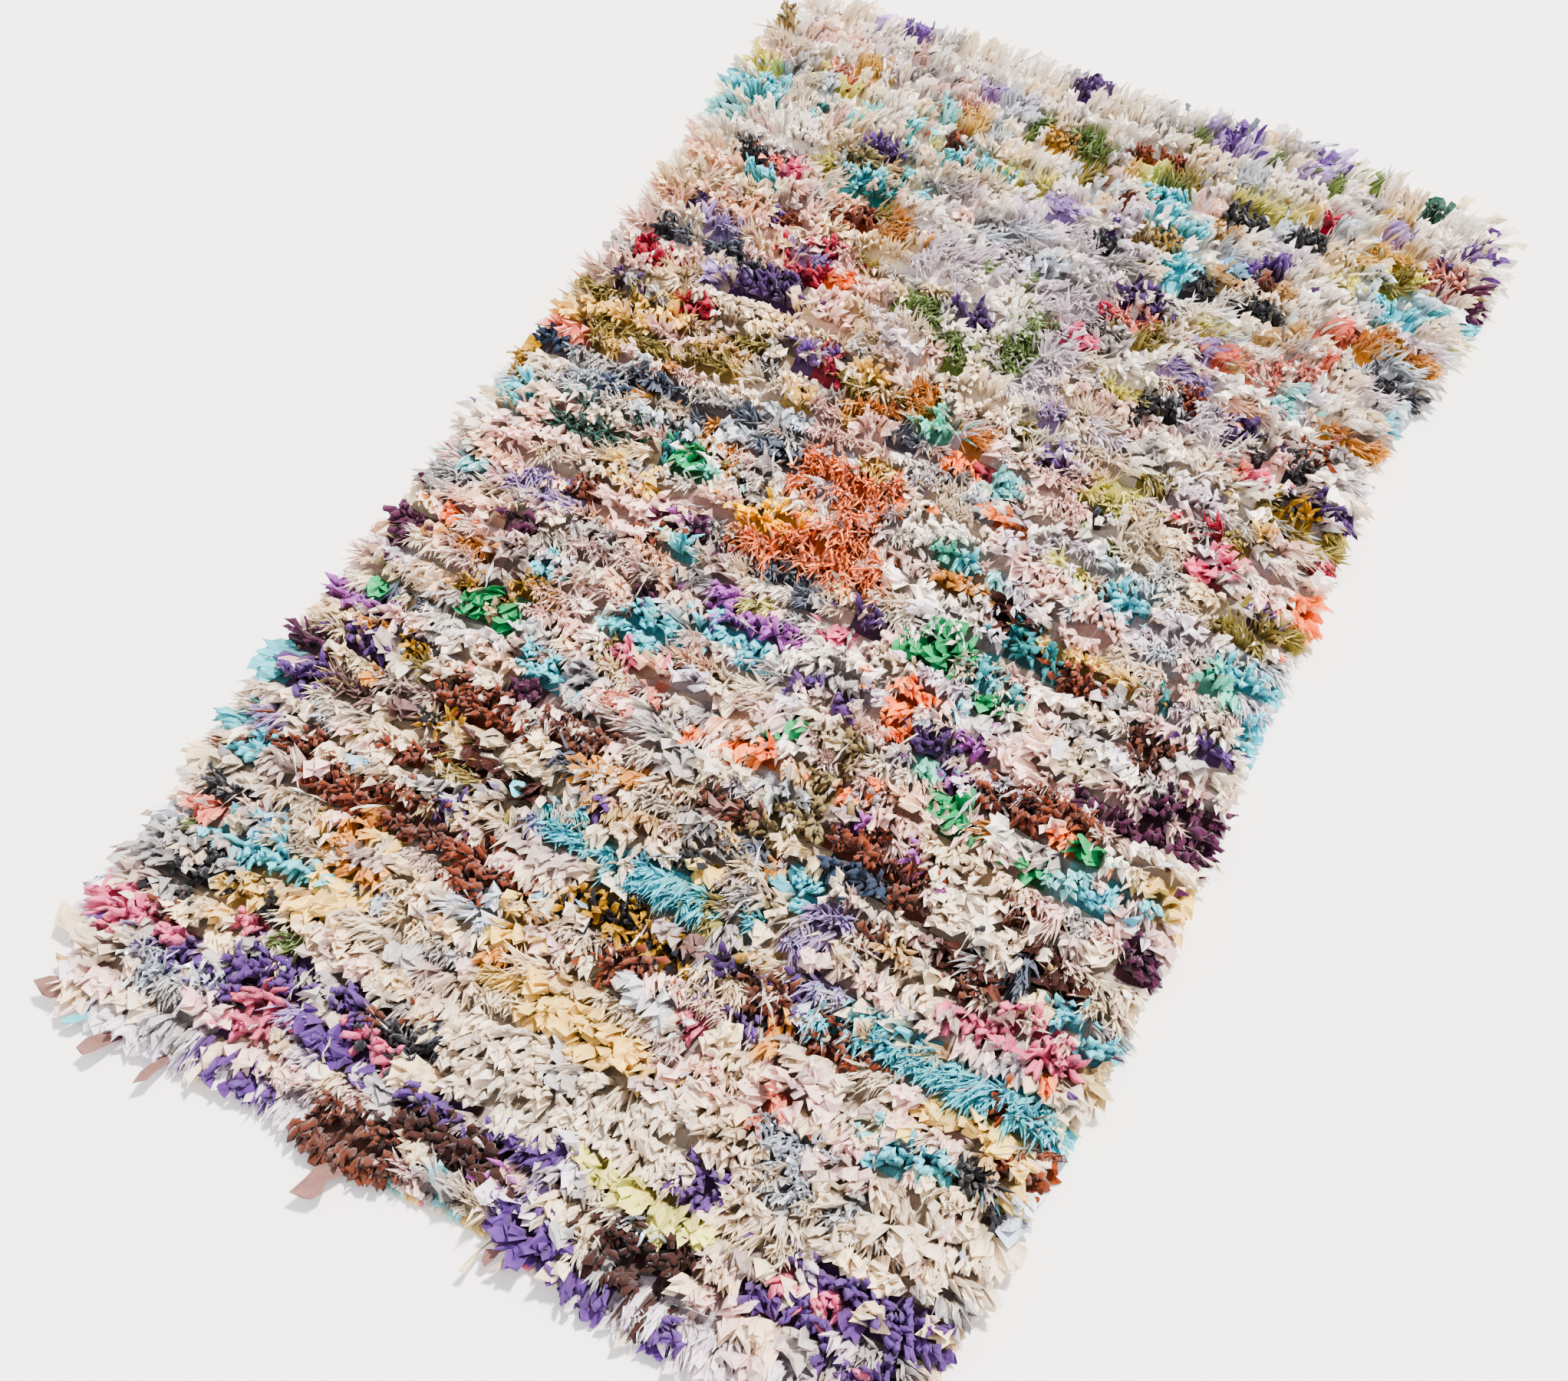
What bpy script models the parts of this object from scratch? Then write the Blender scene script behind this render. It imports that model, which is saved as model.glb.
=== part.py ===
"""A boucherouite rug of knotted rags, lying flat on the floor.

The rug is a woven ground, a thick rag pile that stands in rows across it, and a rolled
finish along each of the four edges, from which locks of rag lie out on the floor.
Plan positions are measured from the corner at the near end's left, X to the right along
the near end and Y towards the far end. The finished rug is centred on the origin."""

import math

import bmesh
import bpy
import numpy as np
from mathutils import Vector

# Driving dimensions, in metres
WIDTH = 1.15
LENGTH = 1.87
GROUND_THICKNESS = 0.004
PILE_TOP = 0.047
GAP = 0.0003

# The ground stops short of the shag's mean edge, which the locks fill
EDGE_INSET = 0.020
CORNER_RADIUS = 0.062
ROLL_WIDTH = 0.006
ROLL_HEIGHT = 0.010

# Pile: rows of knots run across the width, two steps to a ridge
CROSS_STEPS = 24
LENGTH_STEPS = 66
RIDGE_RISE = 0.005
ROW_UNEVENNESS = 0.003
LUMP_UNEVENNESS = 0.005
COLLAR_HEIGHT = 0.0145
SHOULDER_HEIGHT = 0.036
SHOULDER_SWELL = (0.001, 0.009)
SHOULDER_UNEVENNESS = 0.005

# Locks: a section's width is a part of its root's, and its height is in metres
LOCKS_PER_END_STEP = 2
LOCK_SHORT = 0.011
LOCK_LONG = 0.034
LOCK_MIDDLE = 0.5
LOCK_MIDDLE_WIDTH = 0.70
LOCK_TIP_WIDTH = 0.30
LOCK_MIDDLE_HEIGHT = (0.0075, 0.0125)
LOCK_TIP_HEIGHT = (0.0028, 0.0050)
LOCK_LEAN = 0.30
LEAN_WAVELENGTH = 0.23
LEAN_JITTER = 0.08
MITRE = 0.0012

SEED = 31

# Side edges: distance from the near end, then how far each edge drifts to the right
SIDE_DRIFT = (
    # y, left, right
    (0.00, 0.006, 0.004),
    (0.13, -0.003, 0.008),
    (0.28, -0.012, 0.014),
    (0.41, -0.016, 0.016),
    (0.60, -0.013, 0.018),
    (0.79, -0.007, 0.008),
    (0.98, -0.001, -0.005),
    (1.22, 0.005, -0.011),
    (1.30, 0.006, -0.024),
    (1.42, 0.010, -0.028),
    (1.51, 0.009, -0.030),
    (1.61, 0.007, -0.017),
    (1.74, 0.005, 0.002),
    (1.87, 0.003, 0.000),
)

# End edges: distance from the left side, then how far each edge drifts to the far end
END_DRIFT = (
    # x, near, far
    (0.00, 0.022, -0.006),
    (0.13, 0.018, -0.003),
    (0.32, 0.033, 0.003),
    (0.43, 0.013, 0.006),
    (0.61, 0.031, 0.010),
    (0.73, 0.017, 0.013),
    (0.83, 0.008, 0.019),
    (0.95, 0.003, -0.001),
    (1.08, 0.006, -0.022),
    (1.15, 0.012, -0.040),
)

# Locks that lie out well past their neighbours: edge, distance along it, extra reach
STRAY_LOCKS = (
    # edge, along, extra
    ("near", 0.118, 0.030),
    ("near", 0.200, 0.026),
    ("near", 0.447, 0.040),
    ("near", 0.680, 0.022),
    ("near", 0.980, 0.018),
    ("left", 0.030, 0.030),
    ("left", 0.085, 0.022),
    ("left", 0.360, 0.020),
    ("left", 1.545, 0.016),
    ("right", 0.420, 0.014),
    ("right", 0.860, 0.016),
    ("right", 1.800, 0.022),
    ("far", 0.300, 0.016),
    ("far", 0.540, 0.018),
)

# Colours, linear, and roughness of each sub-part's material
FINISHES = {
    "ground_weave": ((0.62, 0.55, 0.45, 1.0), 0.92),
    "pile": ((0.72, 0.62, 0.56, 1.0), 0.88),
    "end_finish_near": ((0.44, 0.35, 0.55, 1.0), 0.90),
    "end_finish_far": ((0.60, 0.56, 0.60, 1.0), 0.90),
    "selvedge_left": ((0.66, 0.56, 0.52, 1.0), 0.90),
    "selvedge_right": ((0.64, 0.57, 0.50, 1.0), 0.90),
}


def clear_scene():
    for obj in list(bpy.data.objects):
        bpy.data.objects.remove(obj, do_unlink=True)


def column(table, index):
    return [row[index] for row in table]


def drift(table, edge, station):
    """The drift of one edge at a station, straight between the rows of its table."""
    return float(np.interp(station, column(table, 0), column(table, edge)))


def plan_point(across, along):
    """The ground's point at these parts (0 to 1) of its width and its length."""
    left = drift(SIDE_DRIFT, 1, along * LENGTH) + EDGE_INSET
    right = WIDTH + drift(SIDE_DRIFT, 2, along * LENGTH) - EDGE_INSET
    near = drift(END_DRIFT, 1, across * WIDTH) + EDGE_INSET
    far = LENGTH + drift(END_DRIFT, 2, across * WIDTH) - EDGE_INSET
    to_side = min(across, 1 - across) * (right - left)
    to_end = min(along, 1 - along) * (far - near)
    x = left + across * (right - left)
    y = near + along * (far - near)
    # Inside a corner's square, the square's rings become quarter circles
    if to_side < CORNER_RADIUS and to_end < CORNER_RADIUS:
        inward = (CORNER_RADIUS - to_side, CORNER_RADIUS - to_end)
        shrink = 1 - max(inward) / math.hypot(*inward)
        x += shrink * inward[0] * (1 if across < 0.5 else -1)
        y += shrink * inward[1] * (1 if along < 0.5 else -1)
    return Vector((x, y, 0))


def rim_points():
    """The ground's edge as a closed ring of points, anticlockwise from the near left."""
    across = [step / CROSS_STEPS for step in range(CROSS_STEPS)]
    along = [step / LENGTH_STEPS for step in range(LENGTH_STEPS)]
    ring = [plan_point(part, 0) for part in across]
    ring += [plan_point(1, part) for part in along]
    ring += [plan_point(1 - part, 1) for part in across]
    ring += [plan_point(0, 1 - part) for part in along]
    return ring


def rim_normals(ring):
    """The outward direction at each point of an anticlockwise ring, mitred at its turns."""
    normals = []
    for before, after in zip(ring[-1:] + ring[:-1], ring[1:] + ring[:1]):
        chord = (after - before).normalized()
        normals.append(Vector((chord.y, -chord.x, 0)))
    return normals


def offset_ring(ring, distances):
    return [p + n * d for p, n, d in zip(ring, rim_normals(ring), distances)]


def edge_line(ring, first, steps, pieces):
    """One edge's points and outward normals, with each step cut into equal pieces."""
    normals = rim_normals(ring)
    stations = []
    for step in range(steps):
        a = (first + step) % len(ring)
        b = (a + 1) % len(ring)
        for piece in range(pieces):
            part = piece / pieces
            stations.append((ring[a].lerp(ring[b], part), normals[a].lerp(normals[b], part)))
    last = (first + steps) % len(ring)
    stations.append((ring[last], normals[last]))
    # The ends stop short of the corner, so that two edges' rolls don't touch there
    for end, inner in ((0, 1), (-1, -2)):
        point, normal = stations[end]
        toward = (stations[inner][0] - point).normalized()
        stations[end] = (point + toward * MITRE, normal)
    return stations


def add_material(obj, finish):
    colour, roughness = FINISHES[finish]
    material = bpy.data.materials.new(finish)
    material.use_nodes = True
    shader = material.node_tree.nodes["Principled BSDF"]
    shader.inputs["Base Color"].default_value = colour
    shader.inputs["Roughness"].default_value = roughness
    shader.inputs["Metallic"].default_value = 0.0
    material.diffuse_color = colour
    obj.data.materials.append(material)


def finish_mesh(name, bm, collection):
    bmesh.ops.recalc_face_normals(bm, faces=bm.faces)
    mesh = bpy.data.meshes.new(name)
    bm.to_mesh(mesh)
    bm.free()
    obj = bpy.data.objects.new(name, mesh)
    collection.objects.link(obj)
    add_material(obj, name)
    return obj


def make_ground(ring, collection):
    """The woven ground: a flat outline with the thickness of the cloth."""
    curve = bpy.data.curves.new("ground_weave", "CURVE")
    curve.dimensions = "2D"
    curve.fill_mode = "BOTH"
    curve.extrude = GROUND_THICKNESS / 2
    outline = offset_ring(ring, [-GAP] * len(ring))
    spline = curve.splines.new("POLY")
    spline.points.add(len(outline) - 1)
    for target, point in zip(spline.points, outline):
        target.co = (point.x, point.y, 0, 1)
    spline.use_cyclic_u = True
    obj = bpy.data.objects.new("ground_weave", curve)
    obj.location.z = GROUND_THICKNESS / 2
    collection.objects.link(obj)
    add_material(obj, "ground_weave")
    return obj


def pile_height(rng):
    """Heights of the pile's top: ridges of knots, uneven from row to row and along each."""
    rows = rng.uniform(-ROW_UNEVENNESS, ROW_UNEVENNESS, LENGTH_STEPS + 1)
    rows += RIDGE_RISE * np.where(np.arange(LENGTH_STEPS + 1) % 2 == 1, 1, -1)
    shape = (LENGTH_STEPS + 1, CROSS_STEPS + 1)
    height = PILE_TOP + rows[:, None] + rng.uniform(-LUMP_UNEVENNESS, LUMP_UNEVENNESS, shape)
    shoulder = SHOULDER_HEIGHT + rng.uniform(-SHOULDER_UNEVENNESS, SHOULDER_UNEVENNESS, shape)
    height[[0, -1], :] = shoulder[[0, -1], :]
    height[:, [0, -1]] = shoulder[:, [0, -1]]
    return height


def extrude_rim(bm, rim, height, ring):
    """Draws the open rim down to a ring of the ground's own outline."""
    drawn = bmesh.ops.extrude_edge_only(bm, edges=rim)["geom"]
    for vert in (item for item in drawn if isinstance(item, bmesh.types.BMVert)):
        nearest = min(ring, key=lambda p: (p.xy - vert.co.xy).length_squared)
        vert.co = (nearest.x, nearest.y, height)
    return [item for item in drawn if isinstance(item, bmesh.types.BMEdge) and item.is_boundary]


def make_pile(ring, rng, collection):
    """The shag as one lumpy slab: a grid of ridges over a collar that stands on the ground."""
    height = pile_height(rng)
    bm = bmesh.new()
    bmesh.ops.create_grid(bm, x_segments=CROSS_STEPS, y_segments=LENGTH_STEPS, size=0.5)
    outline = offset_ring(ring, [-GAP] * len(ring))
    swollen = offset_ring(ring, rng.uniform(*SHOULDER_SWELL, len(ring)))
    for vert in bm.verts:
        column_index = round((vert.co.x + 0.5) * CROSS_STEPS)
        row_index = round((vert.co.y + 0.5) * LENGTH_STEPS)
        place = plan_point(column_index / CROSS_STEPS, row_index / LENGTH_STEPS)
        if vert.is_boundary:
            place = min(swollen, key=lambda p: (p - place).length_squared)
        vert.co = (place.x, place.y, height[row_index, column_index])
    rim = [edge for edge in bm.edges if edge.is_boundary]
    rim = extrude_rim(bm, rim, COLLAR_HEIGHT, outline)
    rim = extrude_rim(bm, rim, GROUND_THICKNESS + GAP, outline)
    bmesh.ops.edgeloop_fill(bm, edges=rim)
    return finish_mesh("pile", bm, collection)


def lock_sections(reach, lean, rng):
    """The two sections of a lock past its root: distance out, shift, width, height."""
    middle = reach * LOCK_MIDDLE
    return (
        (middle, lean * middle, LOCK_MIDDLE_WIDTH, rng.uniform(*LOCK_MIDDLE_HEIGHT)),
        (reach, lean * reach, LOCK_TIP_WIDTH, rng.uniform(*LOCK_TIP_HEIGHT)),
    )


def grow_lock(bm, face, sections):
    """Extrudes one face of the roll into a tapered lock that lies level on the floor."""
    root = face.calc_center_median()
    outward = face.normal.copy()
    outward.z = 0
    outward.normalize()
    tangent = Vector((-outward.y, outward.x, 0))
    half_width = max(abs((vert.co - root).dot(tangent)) for vert in face.verts)
    for distance, shift, width, height in sections:
        face = bmesh.ops.extrude_discrete_faces(bm, faces=[face])["faces"][0]
        middle = face.calc_center_median()
        centre = root + outward * distance + tangent * shift
        for vert in face.verts:
            side = math.copysign(half_width * width, (vert.co - middle).dot(tangent))
            place = centre + tangent * side
            vert.co = (place.x, place.y, height if vert.co.z > middle.z else 0)


def make_edge_finish(name, edge, stations, rng, collection):
    """A rolled edge finish along one side of the rug, with its locks fused to it."""
    bm = bmesh.new()
    inner = [bm.verts.new(point) for point, _ in stations]
    line = [bm.edges.new(pair) for pair in zip(inner, inner[1:])]
    drawn = bmesh.ops.extrude_edge_only(bm, edges=line)["geom"]
    outer = [item for item in drawn if isinstance(item, bmesh.types.BMVert)]
    for vert in outer:
        point, normal = min(stations, key=lambda s: (s[0] - vert.co).length_squared)
        vert.co = point + normal * ROLL_WIDTH
    outer_places = {tuple(round(c, 6) for c in vert.co.xy) for vert in outer}
    raised = bmesh.ops.extrude_face_region(bm, geom=bm.faces[:])["geom"]
    for vert in (item for item in raised if isinstance(item, bmesh.types.BMVert)):
        vert.co.z = ROLL_HEIGHT
    bmesh.ops.recalc_face_normals(bm, faces=bm.faces)
    walls = [
        face
        for face in bm.faces
        if abs(face.normal.z) < 0.5
        and all(tuple(round(c, 6) for c in vert.co.xy) in outer_places for vert in face.verts)
    ]
    start = stations[0][0]
    walls.sort(key=lambda face: (face.calc_center_median() - start).length)
    strays = [row for row in STRAY_LOCKS if row[0] == edge]
    for wall in walls:
        place = wall.calc_center_median()
        along = place.x if edge in ("near", "far") else place.y
        half_step = max(border.calc_length() for border in wall.edges) / 2
        extra = sum(row[2] for row in strays if abs(row[1] - along) < half_step)
        reach = LOCK_SHORT + (LOCK_LONG - LOCK_SHORT) * rng.random() ** 2 + extra
        lean = LOCK_LEAN * math.sin(2 * math.pi * along / LEAN_WAVELENGTH)
        lean += rng.uniform(-LEAN_JITTER, LEAN_JITTER)
        grow_lock(bm, wall, lock_sections(reach, lean * LOCK_SHORT / reach, rng))
    return finish_mesh(name, bm, collection)


def centre_on_origin(parts):
    """Moves every part alike, so that the rug's box stands centred on the origin."""
    bpy.context.view_layer.update()
    corners = [part.matrix_world @ Vector(c) for part in parts for c in part.bound_box]
    for axis in (0, 1):
        values = [corner[axis] for corner in corners]
        middle = (min(values) + max(values)) / 2
        for part in parts:
            part.location[axis] -= middle


def main():
    clear_scene()
    collection = bpy.data.collections.new("boucherouite_rug")
    bpy.context.scene.collection.children.link(collection)
    rng = np.random.default_rng(SEED)
    ring = rim_points()
    parts = [make_ground(ring, collection), make_pile(ring, rng, collection)]
    right_start = CROSS_STEPS
    far_start = right_start + LENGTH_STEPS
    left_start = far_start + CROSS_STEPS
    edges = (
        # name, edge, first rim point, steps, locks to a step
        ("end_finish_near", "near", 0, CROSS_STEPS, LOCKS_PER_END_STEP),
        ("selvedge_right", "right", right_start, LENGTH_STEPS, 1),
        ("end_finish_far", "far", far_start, CROSS_STEPS, LOCKS_PER_END_STEP),
        ("selvedge_left", "left", left_start, LENGTH_STEPS, 1),
    )
    for name, edge, first, steps, pieces in edges:
        stations = edge_line(ring, first, steps, pieces)
        parts.append(make_edge_finish(name, edge, stations, rng, collection))
    centre_on_origin(parts)


main()
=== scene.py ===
# %% [markdown]
# # A boucherouite rug, knot by knot
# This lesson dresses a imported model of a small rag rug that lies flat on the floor. The model
# gives the real size and place of every sub-part, and everything made here stands on it.
# The rug is a woven ground, a thick shag of knotted rags, and a rolled finish with locks of rag
# along each edge.

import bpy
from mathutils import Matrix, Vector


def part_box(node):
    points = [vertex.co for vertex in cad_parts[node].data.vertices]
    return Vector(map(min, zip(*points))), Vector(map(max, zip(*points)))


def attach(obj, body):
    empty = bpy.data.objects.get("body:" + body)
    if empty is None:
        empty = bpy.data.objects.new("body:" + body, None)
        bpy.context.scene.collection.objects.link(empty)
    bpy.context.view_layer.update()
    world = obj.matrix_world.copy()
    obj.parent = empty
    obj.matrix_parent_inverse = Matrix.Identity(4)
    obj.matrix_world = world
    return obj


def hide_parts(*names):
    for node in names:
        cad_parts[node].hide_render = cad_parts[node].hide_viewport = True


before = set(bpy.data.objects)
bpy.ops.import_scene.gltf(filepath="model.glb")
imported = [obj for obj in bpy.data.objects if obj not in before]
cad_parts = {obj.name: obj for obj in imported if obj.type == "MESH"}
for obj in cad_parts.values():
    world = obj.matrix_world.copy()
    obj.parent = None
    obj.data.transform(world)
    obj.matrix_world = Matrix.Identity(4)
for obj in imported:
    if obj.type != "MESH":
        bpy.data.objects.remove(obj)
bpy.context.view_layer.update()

# %% The modules that the rest of the lesson needs
import math

import bmesh
import bpy
import numpy as np
from mathutils import Matrix, Vector

# %% [markdown]
# ## The rug's outline in plan
# A hand-made rug is never a true rectangle: its sides swell and pinch, and its ends bow. The
# same drifts as in the model are repeated here, so that every knot stands on the ground cloth.
# Plan positions run from the corner at the near end's left, X to the right along the near end
# and Y towards the far end. They are easy to read off with a ruler, and one shift at the end
# takes them to the model's frame, which is centred on the rug.

# %% The outline's sizes, in metres
WIDTH = 1.15
LENGTH = 1.87
EDGE_INSET = 0.020
CORNER_RADIUS = 0.062
GROUND_TOP = 0.004
CROSS_STEPS = 24
LENGTH_STEPS = 66

SIDE_STATIONS = (0.00, 0.13, 0.28, 0.41, 0.60, 0.79, 0.98, 1.22, 1.30, 1.42, 1.51, 1.61, 1.74, 1.87)
LEFT_DRIFT = (
    0.006, -0.003, -0.012, -0.016, -0.013, -0.007, -0.001,
    0.005, 0.006, 0.010, 0.009, 0.007, 0.005, 0.003,
)
RIGHT_DRIFT = (
    0.004, 0.008, 0.014, 0.016, 0.018, 0.008, -0.005,
    -0.011, -0.024, -0.028, -0.030, -0.017, 0.002, 0.000,
)
END_STATIONS = (0.00, 0.13, 0.32, 0.43, 0.61, 0.73, 0.83, 0.95, 1.08, 1.15)
NEAR_DRIFT = (0.022, 0.018, 0.033, 0.013, 0.031, 0.017, 0.008, 0.003, 0.006, 0.012)
FAR_DRIFT = (-0.006, -0.003, 0.003, 0.006, 0.010, 0.013, 0.019, -0.001, -0.022, -0.040)


# %% Points of the plan from parts of its width and length
def plan_edges(x, y):
    """Where the ground's left, right, near and far edges lie, level with these plan places."""
    left = np.interp(y, SIDE_STATIONS, LEFT_DRIFT) + EDGE_INSET
    right = WIDTH + np.interp(y, SIDE_STATIONS, RIGHT_DRIFT) - EDGE_INSET
    near = np.interp(x, END_STATIONS, NEAR_DRIFT) + EDGE_INSET
    far = LENGTH + np.interp(x, END_STATIONS, FAR_DRIFT) - EDGE_INSET
    return left, right, near, far


def plan_points(across, along):
    """Plan positions of the ground at these parts (0 to 1) of its width and its length."""
    across, along = np.broadcast_arrays(np.asarray(across, float), np.asarray(along, float))
    left, right, near, far = plan_edges(across * WIDTH, along * LENGTH)
    x = left + across * (right - left)
    y = near + along * (far - near)
    # A corner's square rings become quarter circles
    to_side = CORNER_RADIUS - np.minimum(across, 1 - across) * (right - left)
    to_end = CORNER_RADIUS - np.minimum(along, 1 - along) * (far - near)
    in_corner = (to_side > 0) & (to_end > 0)
    reach = np.where(in_corner, np.hypot(to_side, to_end), 1)
    shrink = np.where(in_corner, 1 - np.maximum(to_side, to_end) / reach, 0)
    x = x + shrink * to_side * np.where(across < 0.5, 1, -1)
    y = y + shrink * to_end * np.where(along < 0.5, 1, -1)
    return np.stack([x, y], axis=-1)


def rim_ring():
    """The ground's edge as a closed ring of plan points, anticlockwise from the near left."""
    across = np.arange(CROSS_STEPS) / CROSS_STEPS
    along = np.arange(LENGTH_STEPS) / LENGTH_STEPS
    sides = (
        plan_points(across, 0),
        plan_points(1, along),
        plan_points(1 - across, 1),
        plan_points(0, 1 - along),
    )
    return np.concatenate(sides)


def ring_normals(ring):
    """The outward direction at each point of the ring."""
    chord = np.roll(ring, -1, axis=0) - np.roll(ring, 1, axis=0)
    chord /= np.linalg.norm(chord, axis=1, keepdims=True)
    return np.stack([chord[:, 1], -chord[:, 0]], axis=1)


# %% The shift from the plan to the model's frame
GAP = 0.0003
RIM = rim_ring()
OUTWARD = ring_normals(RIM)
ground_low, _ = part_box("ground_weave")
shift = np.array(ground_low[:2]) - (RIM - GAP * OUTWARD).min(axis=0)
print("Plan to frame, in metres:", shift.round(4))

# %% [markdown]
# ## The camera
# The picture was taken standing, with a lens of ordinary length, looking down across the rug
# from beyond its near right corner. The axes below were worked out from the rug's own corners
# and its rows of knots, which run straight across it.

# %% The camera, at the photograph's viewing angle
SENSOR_WIDTH = 36
LENS = 52.0
CAMERA_PLACE = (1.4760, -0.3504, 2.4140)
CAMERA_RIGHT = Vector((0.86702, 0.49074, -0.08637))
CAMERA_DOWN = Vector((0.38631, -0.77149, -0.50555))
CAMERA_FORWARD = Vector((-0.31472, 0.40495, -0.85847))
camera_data = bpy.data.cameras.new("camera")
camera_data.sensor_width = SENSOR_WIDTH
camera_data.lens = LENS
camera = bpy.data.objects.new("camera", camera_data)
bpy.context.scene.collection.objects.link(camera)
turn = Matrix((CAMERA_RIGHT, -CAMERA_DOWN, -CAMERA_FORWARD)).transposed().to_4x4()
place = Vector(np.add(CAMERA_PLACE, (*shift, 0)))
camera.matrix_world = Matrix.Translation(place) @ turn
bpy.context.scene.camera = camera
print("Camera at", tuple(round(c, 3) for c in place))

# %% [markdown]
# ## Floor and light
# A pale studio floor runs out of view on every side. One broad key light stands high beyond the
# far right corner, so that each lock shades the one before it, and a pale world fills the rest.
# A shag pile needs such a slanting key: lit from all round, its tufts would melt together.

# %% A new material and its shader
def new_material(name):
    """A material with nodes, its node tree and its shader."""
    material = bpy.data.materials.new(name)
    material.use_nodes = True
    tree = material.node_tree
    return material, tree, tree.nodes["Principled BSDF"]


# %% The floor
FLOOR_SIZE = 14
FLOOR_COLOUR = (0.95, 0.95, 0.945, 1)
FLOOR_ROUGHNESS = 0.8
bpy.ops.object.select_all(action="DESELECT")
bpy.ops.mesh.primitive_plane_add(size=FLOOR_SIZE, location=(0, 0, 0))
floor = bpy.context.object
floor.name = "floor"
floor.data.name = "floor"
floor_paint, _, floor_shader = new_material("floor_paint")
floor_shader.inputs["Base Color"].default_value = FLOOR_COLOUR
floor_shader.inputs["Roughness"].default_value = FLOOR_ROUGHNESS
floor.data.materials.append(floor_paint)

# %% The key light and the world
KEY_HEADING = Vector((0.42, 0.91, 0)).normalized()
KEY_ELEVATION = math.radians(60)
KEY_STRENGTH = 6.8
KEY_ANGLE = math.radians(5)
KEY_COLOUR = (1.0, 0.945, 0.885)
KEY_DISTANCE = 5
WORLD_STRENGTH = 1.28
WORLD_COLOUR = (0.98, 0.96, 0.98, 1)
key_data = bpy.data.lights.new("key", "SUN")
key_data.energy = KEY_STRENGTH
key_data.angle = KEY_ANGLE
key_data.color = KEY_COLOUR
key = bpy.data.objects.new("key", key_data)
bpy.context.scene.collection.objects.link(key)
to_key = KEY_HEADING * math.cos(KEY_ELEVATION) + Vector((0, 0, math.sin(KEY_ELEVATION)))
key.rotation_euler = to_key.to_track_quat("Z", "Y").to_euler()
key.location = to_key * KEY_DISTANCE
world = bpy.data.worlds.new("studio")
world.use_nodes = True
background = world.node_tree.nodes["Background"]
background.inputs["Color"].default_value = WORLD_COLOUR
background.inputs["Strength"].default_value = WORLD_STRENGTH
bpy.context.scene.world = world
bpy.context.scene.view_settings.view_transform = "AgX"
bpy.context.scene.view_settings.look = "AgX - Medium High Contrast"

# %% [markdown]
# ## Writing materials as sums
# A material is a graph of nodes, and most of its nodes are plain sums. The small class below
# wraps one socket, so that `1 - mask * 0.4` adds the Math nodes for us. Everything that isn't a
# sum comes from one method that takes the node's type, its settings and its inputs.

# %% One class for shader sums
class Socket:
    """One output socket. Operators on it add Math nodes."""

    def __init__(self, tree, output=None):
        self.tree = tree
        self.output = output

    def node(self, kind, settings=None, inputs=None, give=0):
        """Adds a node: first its settings, then the values or links of its sockets."""
        added = self.tree.nodes.new(kind)
        for name, value in (settings or {}).items():
            if name == "stops":
                set_stops(added.color_ramp, value)
            else:
                setattr(added, name, value)
        for name, value in (inputs or {}).items():
            if isinstance(value, Socket):
                self.tree.links.new(value.output, added.inputs[name])
            else:
                added.inputs[name].default_value = value
        return Socket(self.tree, added.outputs[give])

    def sum_node(self, operation, *values):
        return self.node("ShaderNodeMath", {"operation": operation}, dict(enumerate(values)))

    def __add__(self, other):
        return self.sum_node("ADD", self, other)

    def __sub__(self, other):
        return self.sum_node("SUBTRACT", self, other)

    def __rsub__(self, other):
        return self.sum_node("SUBTRACT", other, self)

    def __mul__(self, other):
        return self.sum_node("MULTIPLY", self, other)

    __radd__ = __add__
    __rmul__ = __mul__


# %% Ramps, mixes and textures
def set_stops(ramp, stops):
    """Gives a colour ramp these (place, colour) stops, each held until the next."""
    ramp.interpolation = "CONSTANT"
    while len(ramp.elements) > 1:
        ramp.elements.remove(ramp.elements[-1])
    ramp.elements[0].position = stops[0][0]
    ramp.elements[0].color = stops[0][1]
    for position, colour in stops[1:]:
        ramp.elements.new(position).color = colour


def blend(maths, how, share, first, second):
    """One Mix node for colours."""
    settings = {"data_type": "RGBA", "blend_type": how}
    return maths.node("ShaderNodeMix", settings, {0: share, 6: first, 7: second}, give=2)


def ramp(maths, stops, place):
    return maths.node("ShaderNodeValToRGB", {"stops": stops}, {0: place})


def flat_place(maths, across, along):
    return maths.node("ShaderNodeCombineXYZ", inputs={0: across, 1: along})


def noise(maths, vector, scale, detail, **settings):
    inputs = {"Vector": vector, "Scale": scale, "Detail": detail}
    return maths.node("ShaderNodeTexNoise", settings, inputs)


def wave(maths, direction, vector, scale, distortion=0.0):
    inputs = {"Vector": vector, "Scale": scale, "Distortion": distortion}
    return maths.node("ShaderNodeTexWave", {"bands_direction": direction}, inputs, give=1)
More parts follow.
